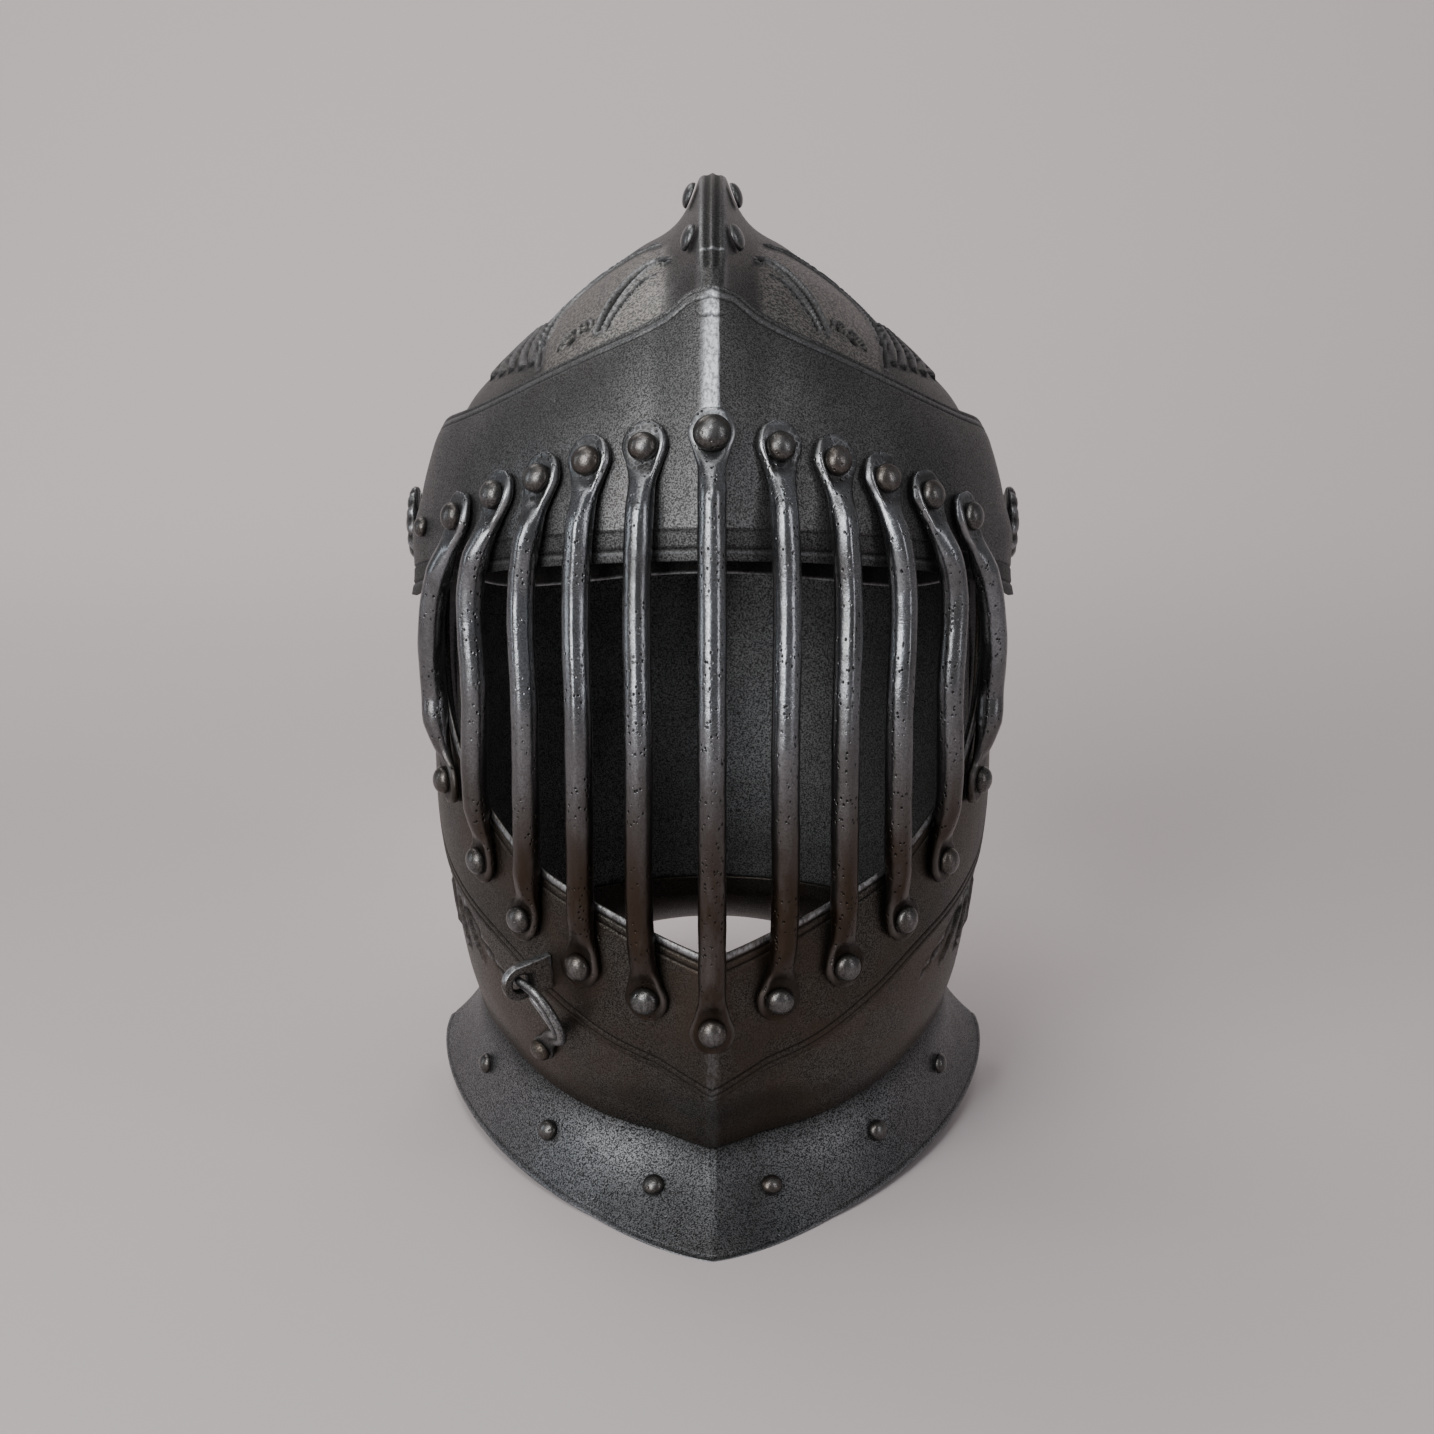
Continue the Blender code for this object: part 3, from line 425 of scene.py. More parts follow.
def read_rows(rows, column, at):
    """A smooth curve through one column of a table, by its first column, that never overshoots."""
    table = np.array(rows, float)
    places, values = table[:, 0], table[:, column]
    gaps = np.diff(places)
    slopes = np.diff(values) / gaps
    product, total = slopes[:-1] * slopes[1:], slopes[:-1] + slopes[1:]
    inner = np.where(product > 0, 2 * product / np.where(total == 0, 1, total), 0)
    tangents = np.concatenate([slopes[:1], inner, slopes[-1:]])
    at = np.asarray(at, float)
    k = np.clip(np.searchsorted(places, at, side="right") - 1, 0, len(gaps) - 1)
    wide = (at - places[k]) / gaps[k]
    t = np.clip(wide, 0, 1)
    start, end = tangents[k] * gaps[k], tangents[k + 1] * gaps[k]
    inside = (
        values[k] * (1 + 2 * t) * (1 - t) ** 2
        + start * t * (1 - t) ** 2
        + values[k + 1] * t * t * (3 - 2 * t)
        + end * t * t * (t - 1)
    )
    return inside + start * np.minimum(wide, 0) + end * np.maximum(wide - 1, 0)


def unit(vectors):
    return vectors / np.linalg.norm(vectors, axis=-1, keepdims=True)


def plate_point(form, turn, height):
    """The outer surface of a face plate, at a turn in degrees from the front and a height."""
    half_width, front, keel = (read_rows(form, column, height) for column in (1, 2, 3))
    angle = np.radians(turn)
    x = half_width * np.sin(angle)
    ahead = np.cos(angle)
    short = 1 - (np.abs(x) - KEEL_FLAT) / (KEEL_HALF - KEEL_FLAT)
    slope = np.minimum((short + np.sqrt(short * short + KEEL_ROUNDING)) / 2, 1)
    y = np.where(ahead < 0, -SIDE_REACH * ahead, -(front - keel) * ahead - keel * slope)
    if form is BROW_FORM:
        aside = np.abs(turn)
        wide = smooth_step(aside, SWELL_STARTS, SWELL_FULL)
        wide *= 1 - SWELL_FADE * smooth_step(aside, SWELL_FULL, SWELL_ENDS)
        x = x + np.sign(turn) * read_rows(BROW_SWELL, 1, height) * wide
    return np.stack([x, y, height + 0 * x], -1)


def plate_normal(form, turn, height):
    along = plate_point(form, turn + 0.5, height) - plate_point(form, turn - 0.5, height)
    up = plate_point(form, turn, height + 0.001) - plate_point(form, turn, height - 0.001)
    return unit(np.cross(along, up))


def plate_frame(form, turn, height):
    """Point and outward normal at one place, as vectors."""
    point = plate_point(form, np.float64(turn), np.float64(height))
    return Vector(point), Vector(plate_normal(form, np.float64(turn), np.float64(height)))


def edge_lean(form, edges, column, turn):
    """How much shorter than the height above a slanting edge the way straight off it is."""
    ends = []
    for near in (np.abs(turn) - 0.5, np.abs(turn) + 0.5):
        ends.append(plate_point(form, near, read_rows(edges, column, np.abs(near))))
    step = ends[1] - ends[0]
    return np.hypot(step[..., 0], step[..., 1]) / np.linalg.norm(step, axis=-1)


def skull_point(across, station):
    """The skull's outer surface: across runs from -1 to 1 of the half width, station down the table."""
    angle, axis_y, axis_z, half_width, reach, arch, comb = (
        read_rows(SKULL_SECTIONS, column, station) for column in range(1, 8)
    )
    share = np.minimum(1.0, np.abs(across))
    oval = np.sqrt(1 - share * share)
    rise = reach * ((1 - arch) * oval + arch * read_rows(SKULL_ARCH, 1, share))
    x = half_width * across
    past = np.abs(x) - COMB_TOP_HALF - COMB_WIDER * smooth_step(station, *COMB_WIDENS)
    flank = (past + np.sqrt(past * past + COMB_SHOULDER**2)) / 2
    rise = rise + comb * np.exp(-flank / COMB_FLARE) * (1 - share**4)
    angle = angle - SKULL_LIP_DROP * share * share * np.maximum(0.0, 1 - station / 1.5)
    turn = np.radians(angle)
    return np.stack([x, axis_y - rise * np.cos(turn), axis_z + rise * np.sin(turn)], -1)


def skull_normal(across, station):
    side = skull_point(np.minimum(across + 0.004, 1), station)
    side = side - skull_point(np.maximum(across - 0.004, -1), station)
    along = skull_point(across, station + 0.02) - skull_point(across, station - 0.02)
    return unit(np.cross(side, along))


def mixed(first, second, share):
    share = np.asarray(share)[..., None]
    return first * (1 - share) + second * share


def flared(collar, throat, rim, down):
    """A gorget's surface: a short collar inside the neck, then a concave flare out to the rim."""
    flare = np.clip((down - COLLAR_SHARE) / (1 - COLLAR_SHARE), 0, 1)
    bend = mixed(throat, rim, np.full(np.shape(down), 0.30))
    bend[..., 2] = throat[..., 2] + (rim[..., 2] - throat[..., 2]) * 0.62
    below = mixed(mixed(throat, bend, flare), mixed(bend, rim, flare), flare)
    above = mixed(collar, throat, np.clip(down / COLLAR_SHARE, 0, 1))
    return np.where((down < COLLAR_SHARE)[..., None], above, below)


def signed_power(value, power):
    return np.sign(value) * np.abs(value) ** power


def gorget_front_point(turn, down):
    turn, down = np.broadcast_arrays(np.asarray(turn, float), np.asarray(down, float))
    height = read_rows(JAW_EDGES, 1, np.minimum(np.abs(turn), JAW_EDGES[-1][0]))
    inside = WALL + GAP + FRONT_PLAY
    neck = plate_point(JAW_FORM, turn, height) - plate_normal(JAW_FORM, turn, height) * inside
    top = plate_point(JAW_FORM, turn, height + NECK_LAP)
    top = top - plate_normal(JAW_FORM, turn, height + NECK_LAP) * inside
    around = np.radians(turn * 96 / FRONT_TURN)
    power = 2 / FRONT_RIM["power"]
    x = FRONT_RIM["half_width"] * signed_power(np.sin(around), power)
    y = RIM_CENTRE_Y - FRONT_RIM["reach"] * signed_power(np.cos(around), power)
    y = y - RIM_KEEL * np.maximum(0.0, 1 - np.abs(x) / RIM_KEEL_HALF)
    z = FRONT_RIM["side_height"] * (np.abs(turn) / 90) ** 2 - FLOOR_DIP
    return flared(top, neck, np.stack([x, y, z], -1), down)


def gorget_rear_point(turn, down):
    around = np.radians(turn)
    widest = np.copysign(REAR_WIDEST, turn)
    share = np.where(np.abs(turn) < 90, np.sin(around) * REAR_WIDEST, widest)
    inward = 1 - (WALL + GAP + REAR_PLAY) / NECK_RADIUS
    back = np.cos(around)
    rings = []
    for station in (LAST_STATION - REAR_LAP, LAST_STATION):
        ring = skull_point(share, np.full(share.shape, station))
        ring[..., 0] *= inward
        ring[..., 1] = RIM_CENTRE_Y + (ring[..., 1] - RIM_CENTRE_Y) * inward
        ring[..., 1] = np.where(back < 0, RIM_CENTRE_Y + NECK_AHEAD * back, ring[..., 1])
        rings.append(ring)
    lift = np.maximum(0.0, (back - 0.30) / 0.70)
    x = REAR_RIM["half_width"] * np.sin(around)
    y = RIM_CENTRE_Y + REAR_RIM["reach"] * back
    z = REAR_RIM["height"] * lift - FLOOR_DIP
    return flared(rings[0], rings[1], np.stack([x, y, z], -1), down)


def normal_of(surface, first, second, first_step, second_step):
    """Outward normal of surface(first, second), by small steps along both."""
    along = surface(first + first_step, second) - surface(first - first_step, second)
    onward = surface(first, second + second_step) - surface(first, second - second_step)
    return unit(np.cross(along, onward))


# ---------------------------------------------------------------- relief


def peak(value, centre, half_width, power=2):
    """A soft peak of 1 round the centre; a higher power gives it a flatter top."""
    return np.exp(-(((value - centre) / half_width) ** power))


def groove(distance, centre, half_width, depth):
    return -depth * peak(distance, centre, half_width)


def grooves(distance, lines):
    return sum(groove(distance, *line) for line in lines)


def bead(distance, centre, radius, height):
    """A half-round bead raised along a line."""
    return height * np.sqrt(np.clip(1 - ((distance - centre) / radius) ** 2, 0, 1))


def smooth_step(value, low, high):
    t = np.clip((value - low) / (high - low), 0, 1)
    return t * t * (3 - 2 * t)


def waves(points, depth, size, seed):
    """A slow, even unevenness from a few crossing sine waves, up to about the depth both ways."""
    total = np.zeros(len(points))
    pick = np.random.default_rng(seed)
    for _ in range(7):
        direction = pick.normal(size=3)
        direction /= np.linalg.norm(direction)
        pace = 2 * math.pi / size * pick.uniform(0.6, 1.5)
        total += np.sin(points @ direction * pace + pick.uniform(0, 6.28))
    return depth * (total / 4)


def carve(points, strokes, lay):
    """Relief of strokes along paths laid on a surface by lay(first, second), on both sides of the
    keel: the rise, the share of painted shade in the hollows and the share of painted highlight on the
    crests. A blade is cut along its middle between two thin ridges, a leaf is round."""
    rise, shaded_hollow, crest = (np.zeros(len(points)) for _ in range(3))
    for _, cut, (start, middle, end), tall, path in strokes:
        curve, places = through_points([Vector(lay(first, second)) for first, second in path])
        for side in (1, -1):
            distance, share = from_path(points, curve, places[-1], side)
            across = distance * 1000 / read_rows(((0.0, start), (0.45, middle), (1.0, end)), 1, share)
            height = tall / 1000
            if cut == "blade":
                # Painted shade along the blade's cut middle, painted highlight on its two ridges.
                ridges = 0.62 * peak(across, 1.10, 0.30)
                lift = height * (ridges - 0.75 * peak(across, 0, 0.82, 6))
                dark = 0.9 * peak(across, 0, 0.84, 6)
                light = peak(across, 1.14, 0.30)
            else:
                lift = height * np.sqrt(np.clip(1 - across**3, 0, 1))
                # Painted shade round the leaf's foot, a faint painted highlight on its top.
                dark = peak(across, 1.15, 0.28)
                light = 0.35 * peak(across, 0.35, 0.35)
            rise = np.where(np.abs(lift) > np.abs(rise), lift, rise)
            shaded_hollow = np.maximum(shaded_hollow, dark)
            crest = np.maximum(crest, light)
    return rise, shaded_hollow, crest


def from_path(points, curve, length, side, steps=28):
    """Distance of each point from a curve, and how far along the curve the nearest place is."""
    best = np.full(len(points), 1.0)
    share = np.zeros(len(points))
    mirrored = points * np.array([side, 1, 1])
    for i in range(steps):
        start = np.array(curve(length * i / steps))
        along = np.array(curve(length * (i + 1) / steps)) - start
        t = np.clip((mirrored - start) @ along / (along @ along), 0, 1)
        distance = np.linalg.norm(mirrored - start - t[:, None] * along, axis=1)
        nearer = distance < best
        best = np.where(nearer, distance, best)
        share = np.where(nearer, (i + t) / steps, share)
    return best, share


# ---------------------------------------------------------------- meshes


def unit_grid(name, columns, rows):
    """A grid mesh with each vertex's column and row as whole numbers."""
    grid = bmesh.new()
    bmesh.ops.create_grid(grid, x_segments=columns, y_segments=rows, size=0.5)
    mesh = bpy.data.meshes.new(name)
    grid.to_mesh(mesh)
    grid.free()
    flat = np.empty(len(mesh.vertices) * 3)
    mesh.vertices.foreach_get("co", flat)
    flat = flat.reshape(-1, 3)
    return mesh, np.round((flat[:, 0] + 0.5) * columns), np.round((flat[:, 1] + 0.5) * rows)


def place(mesh, points):
    mesh.vertices.foreach_set("co", np.ascontiguousarray(points, float).ravel())
    mesh.update()


def mark(mesh, **shares):
    """Store a share from 0 to 1 for each vertex, under the name that the metals read."""
    for name, values in shares.items():
        layer = mesh.attributes.new(name, "FLOAT", "POINT")
        layer.data.foreach_set("value", np.clip(values, 0, 1).astype(np.float32))


def cut_bores(mesh):
    """Open the plate round the pivot pins, under the rosettes."""
    plate = bmesh.new()
    plate.from_mesh(mesh)
    near = [v for v in plate.verts if (v.co - PIVOT).yz.length < BORE and abs(v.co.x) > 0.05]
    bmesh.ops.delete(plate, geom=near, context="VERTS")
    plate.to_mesh(mesh)
    plate.free()


def finish(name, mesh, body, nodes, steel):
    """A finished piece: its steel, the body that it rides on and the nodes that it stands for."""
    mesh.materials.append(STEEL[steel])
    mesh.shade_smooth()
    made = bpy.data.objects.new(name, mesh)
    bpy.context.scene.collection.objects.link(made)
    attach(made, body)
    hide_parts(*nodes)
    return made


def thicken(made, wall, hidden="inside"):
    """Give a shell its wall, with the steel named for its hidden face."""
    made.data.materials.append(STEEL[hidden])
    solid = made.modifiers.new("wall", "SOLIDIFY")
    solid.thickness = wall
    solid.offset = -1.0
    solid.material_offset = 1


def settle(made):
    """Bake a shell's wall into its mesh and set what would dip under the floor down on it."""
    graph = bpy.context.evaluated_depsgraph_get()
    solid = bpy.data.meshes.new_from_object(made.evaluated_get(graph))
    made.modifiers.clear()
    made.data = solid
    for vertex in solid.vertices:
        vertex.co.z = max(0.0, vertex.co.z)


def close_up(mesh, fill=True):
    """Join a rolled up grid along its seam and fill its ends, with the faces turned outwards."""
    tube = bmesh.new()
    tube.from_mesh(mesh)
    bmesh.ops.remove_doubles(tube, verts=tube.verts, dist=SAME_PLACE)
    if fill:
        bmesh.ops.holes_fill(tube, edges=tube.edges, sides=0)
    bmesh.ops.recalc_face_normals(tube, faces=tube.faces)
    tube.to_mesh(mesh)
    tube.free()


def even_turn(share, widest):
    """Turns spread over a plate, closer together at the keel."""
    side = 2 * share - 1
    return widest * (0.72 * side + 0.28 * side**3)


def plate_rows(share, low, high, low_lean, high_lean, band):
    """Heights for evenly counted rows that crowd within band of both edges."""
    near = 0.30
    tall = high - low
    low_band = np.minimum(band / low_lean, 0.40 * tall)
    high_band = np.minimum(band / high_lean, 0.40 * tall)
    bottom = low + low_band * share / near
    top = high - high_band * (1 - share) / near
    inner = (share - near) / (1 - 2 * near)
    middle = low + low_band + (tall - low_band - high_band) * inner
    return np.where(share < near, bottom, np.where(share > 1 - near, top, middle))


def face_plate(node, form, edges, rows, relief, body, steel):
    """A face plate with relief(points, height, from_low, from_high) along its outward normal."""
    mesh, column, row = unit_grid(node + "_shell", PLATE_COLUMNS, rows)
    turn = even_turn(column / PLATE_COLUMNS, edges[-1][0])
    low = read_rows(edges, 1, np.abs(turn))
    high = read_rows(edges, 2, np.abs(turn))
    low_lean = edge_lean(form, edges, 1, turn)
    high_lean = edge_lean(form, edges, 2, turn)
    height = plate_rows(row / rows, low, high, low_lean, high_lean, EDGE_BAND)
    points = plate_point(form, turn, height)
    from_low = (height - low) * low_lean
    from_high = (high - height) * high_lean
    rise, crevice, wear = relief(points=points, height=height, from_low=from_low, from_high=from_high)
    points = points + plate_normal(form, turn, height) * rise[:, None]
    place(mesh, points)
    mark(mesh, crevice=crevice, wear=wear)
    cut_bores(mesh)
    thicken(finish(node + "_shell", mesh, body, [node], steel), WALL)


def through_points(points):
    """A smooth curve through points, as a function of the distance along it, and their distances."""
    places = [0.0]
    for before, after in zip(points, points[1:]):
        places.append(places[-1] + (after - before).length)
    slopes = [(points[i + 1] - points[i]) / (places[i + 1] - places[i]) for i in range(len(points) - 1)]
    tangents = [slopes[0]]
    for i in range(1, len(points) - 1):
        before, after = places[i] - places[i - 1], places[i + 1] - places[i]
        tangents.append((slopes[i - 1] * after + slopes[i] * before) / (before + after))
    tangents.append(slopes[-1])

    def at(distance):
        k, t, span = which_span(places, distance)
        return (
            points[k] * ((1 + 2 * t) * (1 - t) ** 2)
            + tangents[k] * (span * t * (1 - t) ** 2)
            + points[k + 1] * (t * t * (3 - 2 * t))
            + tangents[k + 1] * (span * t * t * (t - 1))
        )

    return at, places


def which_span(places, distance):
    k = max(0, min(len(places) - 2, sum(place <= distance for place in places) - 1))
    span = places[k + 1] - places[k]
    return k, min(1.0, max(0.0, (distance - places[k]) / span)), span


def between(places, normals, distance):
    k, t, _ = which_span(places, distance)
    return normals[k].lerp(normals[k + 1], t).normalized()


def rod(name, keys, stations, sides, section, body, nodes, steel):
    """A closed rod along keys of (point, outward normal). section(distance, length, angle) gives each
    ring's (across, out, painted shade with darker tone, wear with painted sheen) for all its angles."""
    path, places = through_points([point for point, _ in keys])
    normals = [normal for _, normal in keys]
    length = places[-1]
    mesh, column, row = unit_grid(name, sides, len(stations) - 1)
    angles = 2 * math.pi * np.arange(sides + 1) / sides
    points = np.zeros((len(stations), sides + 1, 3))
    marks = np.zeros((2, len(stations), sides + 1))
    for i, share in enumerate(stations):
        distance = share * length
        ahead = path(min(length, distance + 0.0004)) - path(max(0.0, distance - 0.0004))
        across = ahead.cross(between(places, normals, distance)).normalized()
        out = across.cross(ahead).normalized()
        sideways, outwards, crevice, wear = section(distance, length, angles)
        points[i] = np.array(path(distance)) + np.outer(sideways, across) + np.outer(outwards, out)
        marks[0, i], marks[1, i] = crevice, wear
    column, row = column.astype(int), row.astype(int)
    place(mesh, points[row, column])
    mark(mesh, crevice=marks[0][row, column], wear=marks[1][row, column])
    close_up(mesh)
    finish(name, mesh, body, nodes, steel)


def turned(mesh, radius, angle, height, place_at, axis):
    """Lay the vertices of a turned piece round an axis."""
    points = np.stack([radius * np.cos(angle), radius * np.sin(angle), height], -1)
    turn = np.array(axis.to_track_quat("Z", "Y").to_matrix())
    place(mesh, points @ turn.T + np.array(place_at))


def spun(name, profile, columns, place_at, axis, ripple, body, nodes, steel):
    """A turned piece from (radius, height, share of the ripple) rows, as ripple(angle) lifts it."""
    mesh, column, row = unit_grid(name, columns, len(profile) - 1)
    profile = np.array(profile)
    radius, height, share = profile[row.astype(int)].T
    angle = 2 * math.pi * (column % columns) / columns
    radius = radius * (1 + 0.025 * ripple(angle) * (share > 0))
    turned(mesh, radius, angle, height + share * ripple(angle), place_at, axis)
    rippled = (share > 0) * ripple(angle)
    # Painted shade in the dips between the petals; lighter on their crests.
    mark(mesh, crevice=np.clip(-rippled, 0, 1) * 0.8, wear=np.clip(rippled, 0, 1) * 0.4)
    close_up(mesh)
    finish(name, mesh, body, nodes, steel)


# ---------------------------------------------------------------- metals


class Paint:
    """A material's node tree, with short ways to add the nodes that it needs."""

    def __init__(self, name):
        self.material = bpy.data.materials.new(name)
        self.material.use_nodes = True
        self.nodes = self.material.node_tree.nodes
        self.links = self.material.node_tree.links
        self.shader = self.nodes["Principled BSDF"]
        self.object = self.nodes.new("ShaderNodeTexCoord").outputs["Object"]

    def add(self, kind, sockets, **settings):
        made = self.nodes.new("ShaderNode" + kind)
        for setting, value in settings.items():
            setattr(made, setting, value)
        self.fill(made, sockets)
        return made

    def fill(self, made, sockets):
        for socket, value in sockets.items():
            if isinstance(value, bpy.types.NodeSocket):
                self.links.new(value, made.inputs[socket])
            else:
                made.inputs[socket].default_value = value

    def stretched(self, stretch):
        return self.add("Mapping", {"Vector": self.object, "Scale": stretch}).outputs["Vector"]

    def noise(self, scale, detail=2.0, rough=0.5, vector=None, distortion=0.0):
        sockets = {"Vector": vector or self.object, "Scale": scale, "Detail": detail}
        sockets |= {"Roughness": rough, "Distortion": distortion}
        return self.add("TexNoise", sockets).outputs["Fac"]

    def cells(self, scale, vector=None):
        return self.add("TexVoronoi", {"Vector": vector or self.object, "Scale": scale}).outputs["Distance"]

    def ramp(self, value, low, high, start=0.0, end=1.0):
        sockets = {"Value": value, "From Min": low, "From Max": high, "To Min": start, "To Max": end}
        return self.add("MapRange", sockets, interpolation_type="SMOOTHSTEP").outputs["Result"]

    def math(self, operation, first, second):
        made = self.add("Math", {0: first, 1: second}, operation=operation)
        return made.outputs["Value"]

    def times(self, first, second):
        return self.math("MULTIPLY", first, second)

    def blend(self, share, first, second):
        made = self.nodes.new("ShaderNodeMix")
        made.data_type = "RGBA"
        for socket, value in (("A_Color", first), ("B_Color", second), ("Factor_Float", share)):
            target = next(s for s in made.inputs if s.identifier == socket)
            if isinstance(value, bpy.types.NodeSocket):
                self.links.new(value, target)
            else:
                target.default_value = value
        return next(s for s in made.outputs if s.identifier == "Result_Color")

    def attribute(self, name):
        return self.add("Attribute", {}, attribute_name=name).outputs["Fac"]

    def bump(self, height, distance, strength=1.0, under=None):
        sockets = {"Height": height, "Distance": distance, "Strength": strength}
        if under is not None:
            sockets["Normal"] = under
        return self.add("Bump", sockets).outputs["Normal"]

    def finished(self, colour, metallic, roughness, normal):
        sockets = {"Base Color": colour, "Metallic": metallic, "Roughness": roughness, "Normal": normal}
        self.fill(self.shader, sockets)
        return self.material


def grey(level, warmth=0.0):
    """A near-grey, redder for positive warmth and bluer for negative."""
    return (level * (1 + warmth), level * (1 + warmth * 0.2), level * (1 - warmth), 1.0)


def plate_steel(name, dark, light, warmth, patina, grain_size, grain_depth, roughness):
    """Dark plate: fine speckled grain, faint clouds, brown patina, small pits, bright worn edges, painted
    highlights on the keel, the carved crests and lit edges, and painted shade in the hollows.
    """
    paint = Paint(name)
    grain = paint.noise(1 / grain_size, 2.0, 0.6)
    coarse = paint.noise(0.33 / grain_size, 2.0, 0.6)
    speckle = paint.ramp(grain, 0.38, 0.62)
    colour = paint.blend(speckle, grey(dark, warmth), grey(light, warmth * 0.6))
    cloud = paint.times(paint.ramp(paint.noise(30.0, 4.0, 0.6), 0.35, 0.68), 0.32)
    colour = paint.blend(cloud, colour, grey(dark * 0.8, warmth))
    brown = paint.ramp(paint.noise(24.0, 5.0, 0.62), 0.40, 0.66)
    rust = (light * 0.70, light * 0.50, light * 0.37, 1.0)
    colour = paint.blend(paint.times(brown, patina), colour, rust)
    dots = paint.ramp(paint.noise(1100.0, 2.0, 0.6), 0.42, 0.60, 0.05, 0.62)
    stipple = paint.times(paint.attribute("stipple"), dots)
    colour = paint.blend(stipple, colour, grey(0.34, 0.06))
    scuff = paint.ramp(paint.noise(850.0, 3.0, 0.7, paint.stretched((1.0, 1.0, 0.35))), 0.38, 0.58, 0.30, 1.0)
    # Lighter grey where the plates are worn, and painted highlights along the keel, the carved crests and lit
    # edges.
    wear = paint.times(paint.attribute("wear"), scuff)
    colour = paint.blend(wear, colour, grey(0.62, -0.04))
    # Painted shade: darker in the cut lines, carved hollows and flutes, round rivet feet and under
    # overlapping plates.
    crevice = paint.attribute("crevice")
    colour = paint.blend(paint.times(crevice, 0.88), colour, grey(0.006, 0.1))
    pitted_places = paint.ramp(paint.noise(70.0, 2.0), 0.57, 0.67)
    pits = paint.times(paint.ramp(paint.cells(420.0), 0.10, 0.28, 1.0, 0.0), pitted_places)
    colour = paint.blend(paint.times(pits, 0.6), colour, grey(0.012, 0.15))
    shine = paint.ramp(grain, 0.3, 0.7, roughness + 0.08, roughness - 0.05)
    shine = paint.math("ADD", shine, paint.times(crevice, 0.25))
    shine = paint.math("SUBTRACT", shine, paint.times(wear, 0.14))
    hammered = paint.bump(paint.noise(46.0, 1.0, 0.4), 0.0005)
    both_grains = paint.math("ADD", grain, paint.times(coarse, 0.8))
    grained = paint.bump(both_grains, grain_depth, 1.0, hammered)
    pitted = paint.bump(paint.math("SUBTRACT", 1.0, pits), 0.00020, 1.0, grained)
    return paint.finished(colour, 0.92, shine, pitted)


def bar_steel(name, bright, tarnish, patina):
    """Worn bars: glossy dark grey with pits and long streaks, brown towards their lower ends."""
    paint = Paint(name)
    streak = paint.noise(120.0, 4.0, 0.65, paint.stretched((1.0, 1.0, 0.18)))
    fine = paint.noise(1600.0, 2.0, 0.6)
    cloud = paint.ramp(paint.noise(60.0, 4.0, 0.6, paint.stretched((1.0, 1.0, 0.35))), 0.36, 0.66)
    colour = paint.blend(paint.ramp(fine, 0.35, 0.65), grey(bright * 0.62, -0.04), grey(bright, -0.05))
    colour = paint.blend(paint.times(cloud, 0.60), colour, grey(tarnish, 0.04))
    height = paint.add("SeparateXYZ", {"Vector": paint.object}).outputs["Z"]
    low = paint.ramp(height, 0.205, 0.125)
    streaked = paint.ramp(streak, 0.30, 0.60, 0.75, 1.0)
    browned = paint.times(paint.times(low, patina), streaked)
    colour = paint.blend(browned, colour, (0.050, 0.035, 0.025, 1.0))
    where = paint.ramp(paint.noise(55.0, 3.0, 0.6), 0.40, 0.56)
    cells = paint.cells(560.0, paint.stretched((1.0, 1.0, 0.75)))
    pits = paint.times(paint.ramp(cells, 0.12, 0.30, 1.0, 0.0), where)
    colour = paint.blend(paint.times(pits, 0.9), colour, grey(0.008, 0.1))
    # Painted shade on the bars' backs and a darker tone over their flattened ends, broken up by a fine
    # speckle.
    shade_speckle = paint.ramp(paint.noise(1800.0, 2.0, 0.6), 0.40, 0.60, 0.72, 1.0)
    crevice = paint.times(paint.attribute("crevice"), shade_speckle)
    colour = paint.blend(paint.times(crevice, 0.90), colour, grey(0.014, 0.12))
    cell_edges = paint.add("TexVoronoi", {"Vector": paint.object, "Scale": 420.0}, feature="DISTANCE_TO_EDGE")
    cracked_places = paint.ramp(paint.noise(150.0, 2.0), 0.46, 0.56)
    cracks = paint.times(paint.ramp(cell_edges.outputs["Distance"], 0.02, 0.09, 1.0, 0.0), cracked_places)
    cracks = paint.times(cracks, paint.ramp(height, 0.20, 0.24, 0.0, 0.5))
    colour = paint.blend(paint.times(cracks, crevice), colour, grey(0.42, -0.03))
    wear = paint.attribute("wear")
    colour = paint.blend(paint.times(wear, 0.75), colour, grey(0.55, 0.0))
    shine = paint.ramp(streak, 0.3, 0.7, 0.28, 0.20)
    shine = paint.math("ADD", shine, paint.times(crevice, 0.22))
    shine = paint.math("ADD", shine, paint.times(browned, 0.12))
    uneven = paint.bump(paint.noise(130.0, 2.0, 0.5), 0.00035)
    grained = paint.bump(fine, 0.00005, 1.0, uneven)
    pitted = paint.bump(paint.math("SUBTRACT", 1.0, pits), 0.00025, 1.0, grained)
    return paint.finished(colour, 0.97, shine, pitted)


def backdrop_paper():
    paint = Paint("backdrop_paper")
    depth = paint.add("SeparateXYZ", {"Vector": paint.object}).outputs["Y"]
    colour = paint.blend(paint.ramp(depth, 0.2, 1.2), (0.530, 0.478, 0.475, 1.0), (0.800, 0.728, 0.722, 1.0))
    paint.fill(paint.shader, {"Base Color": colour, "Roughness": 0.85, "Specular IOR Level": 0.15})
    return paint.material


# ---------------------------------------------------------------- the studio


def add_camera():
    camera = bpy.data.objects.new("camera", bpy.data.cameras.new("camera"))
    camera.data.sensor_width = 36.0
    camera.data.lens = 57.1
    camera.location = (0.0016, -0.85, 0.38)
    camera.rotation_euler = (math.radians(90 - 14.8), 0.0, 0.0)
    bpy.context.scene.collection.objects.link(camera)
    bpy.context.scene.camera = camera


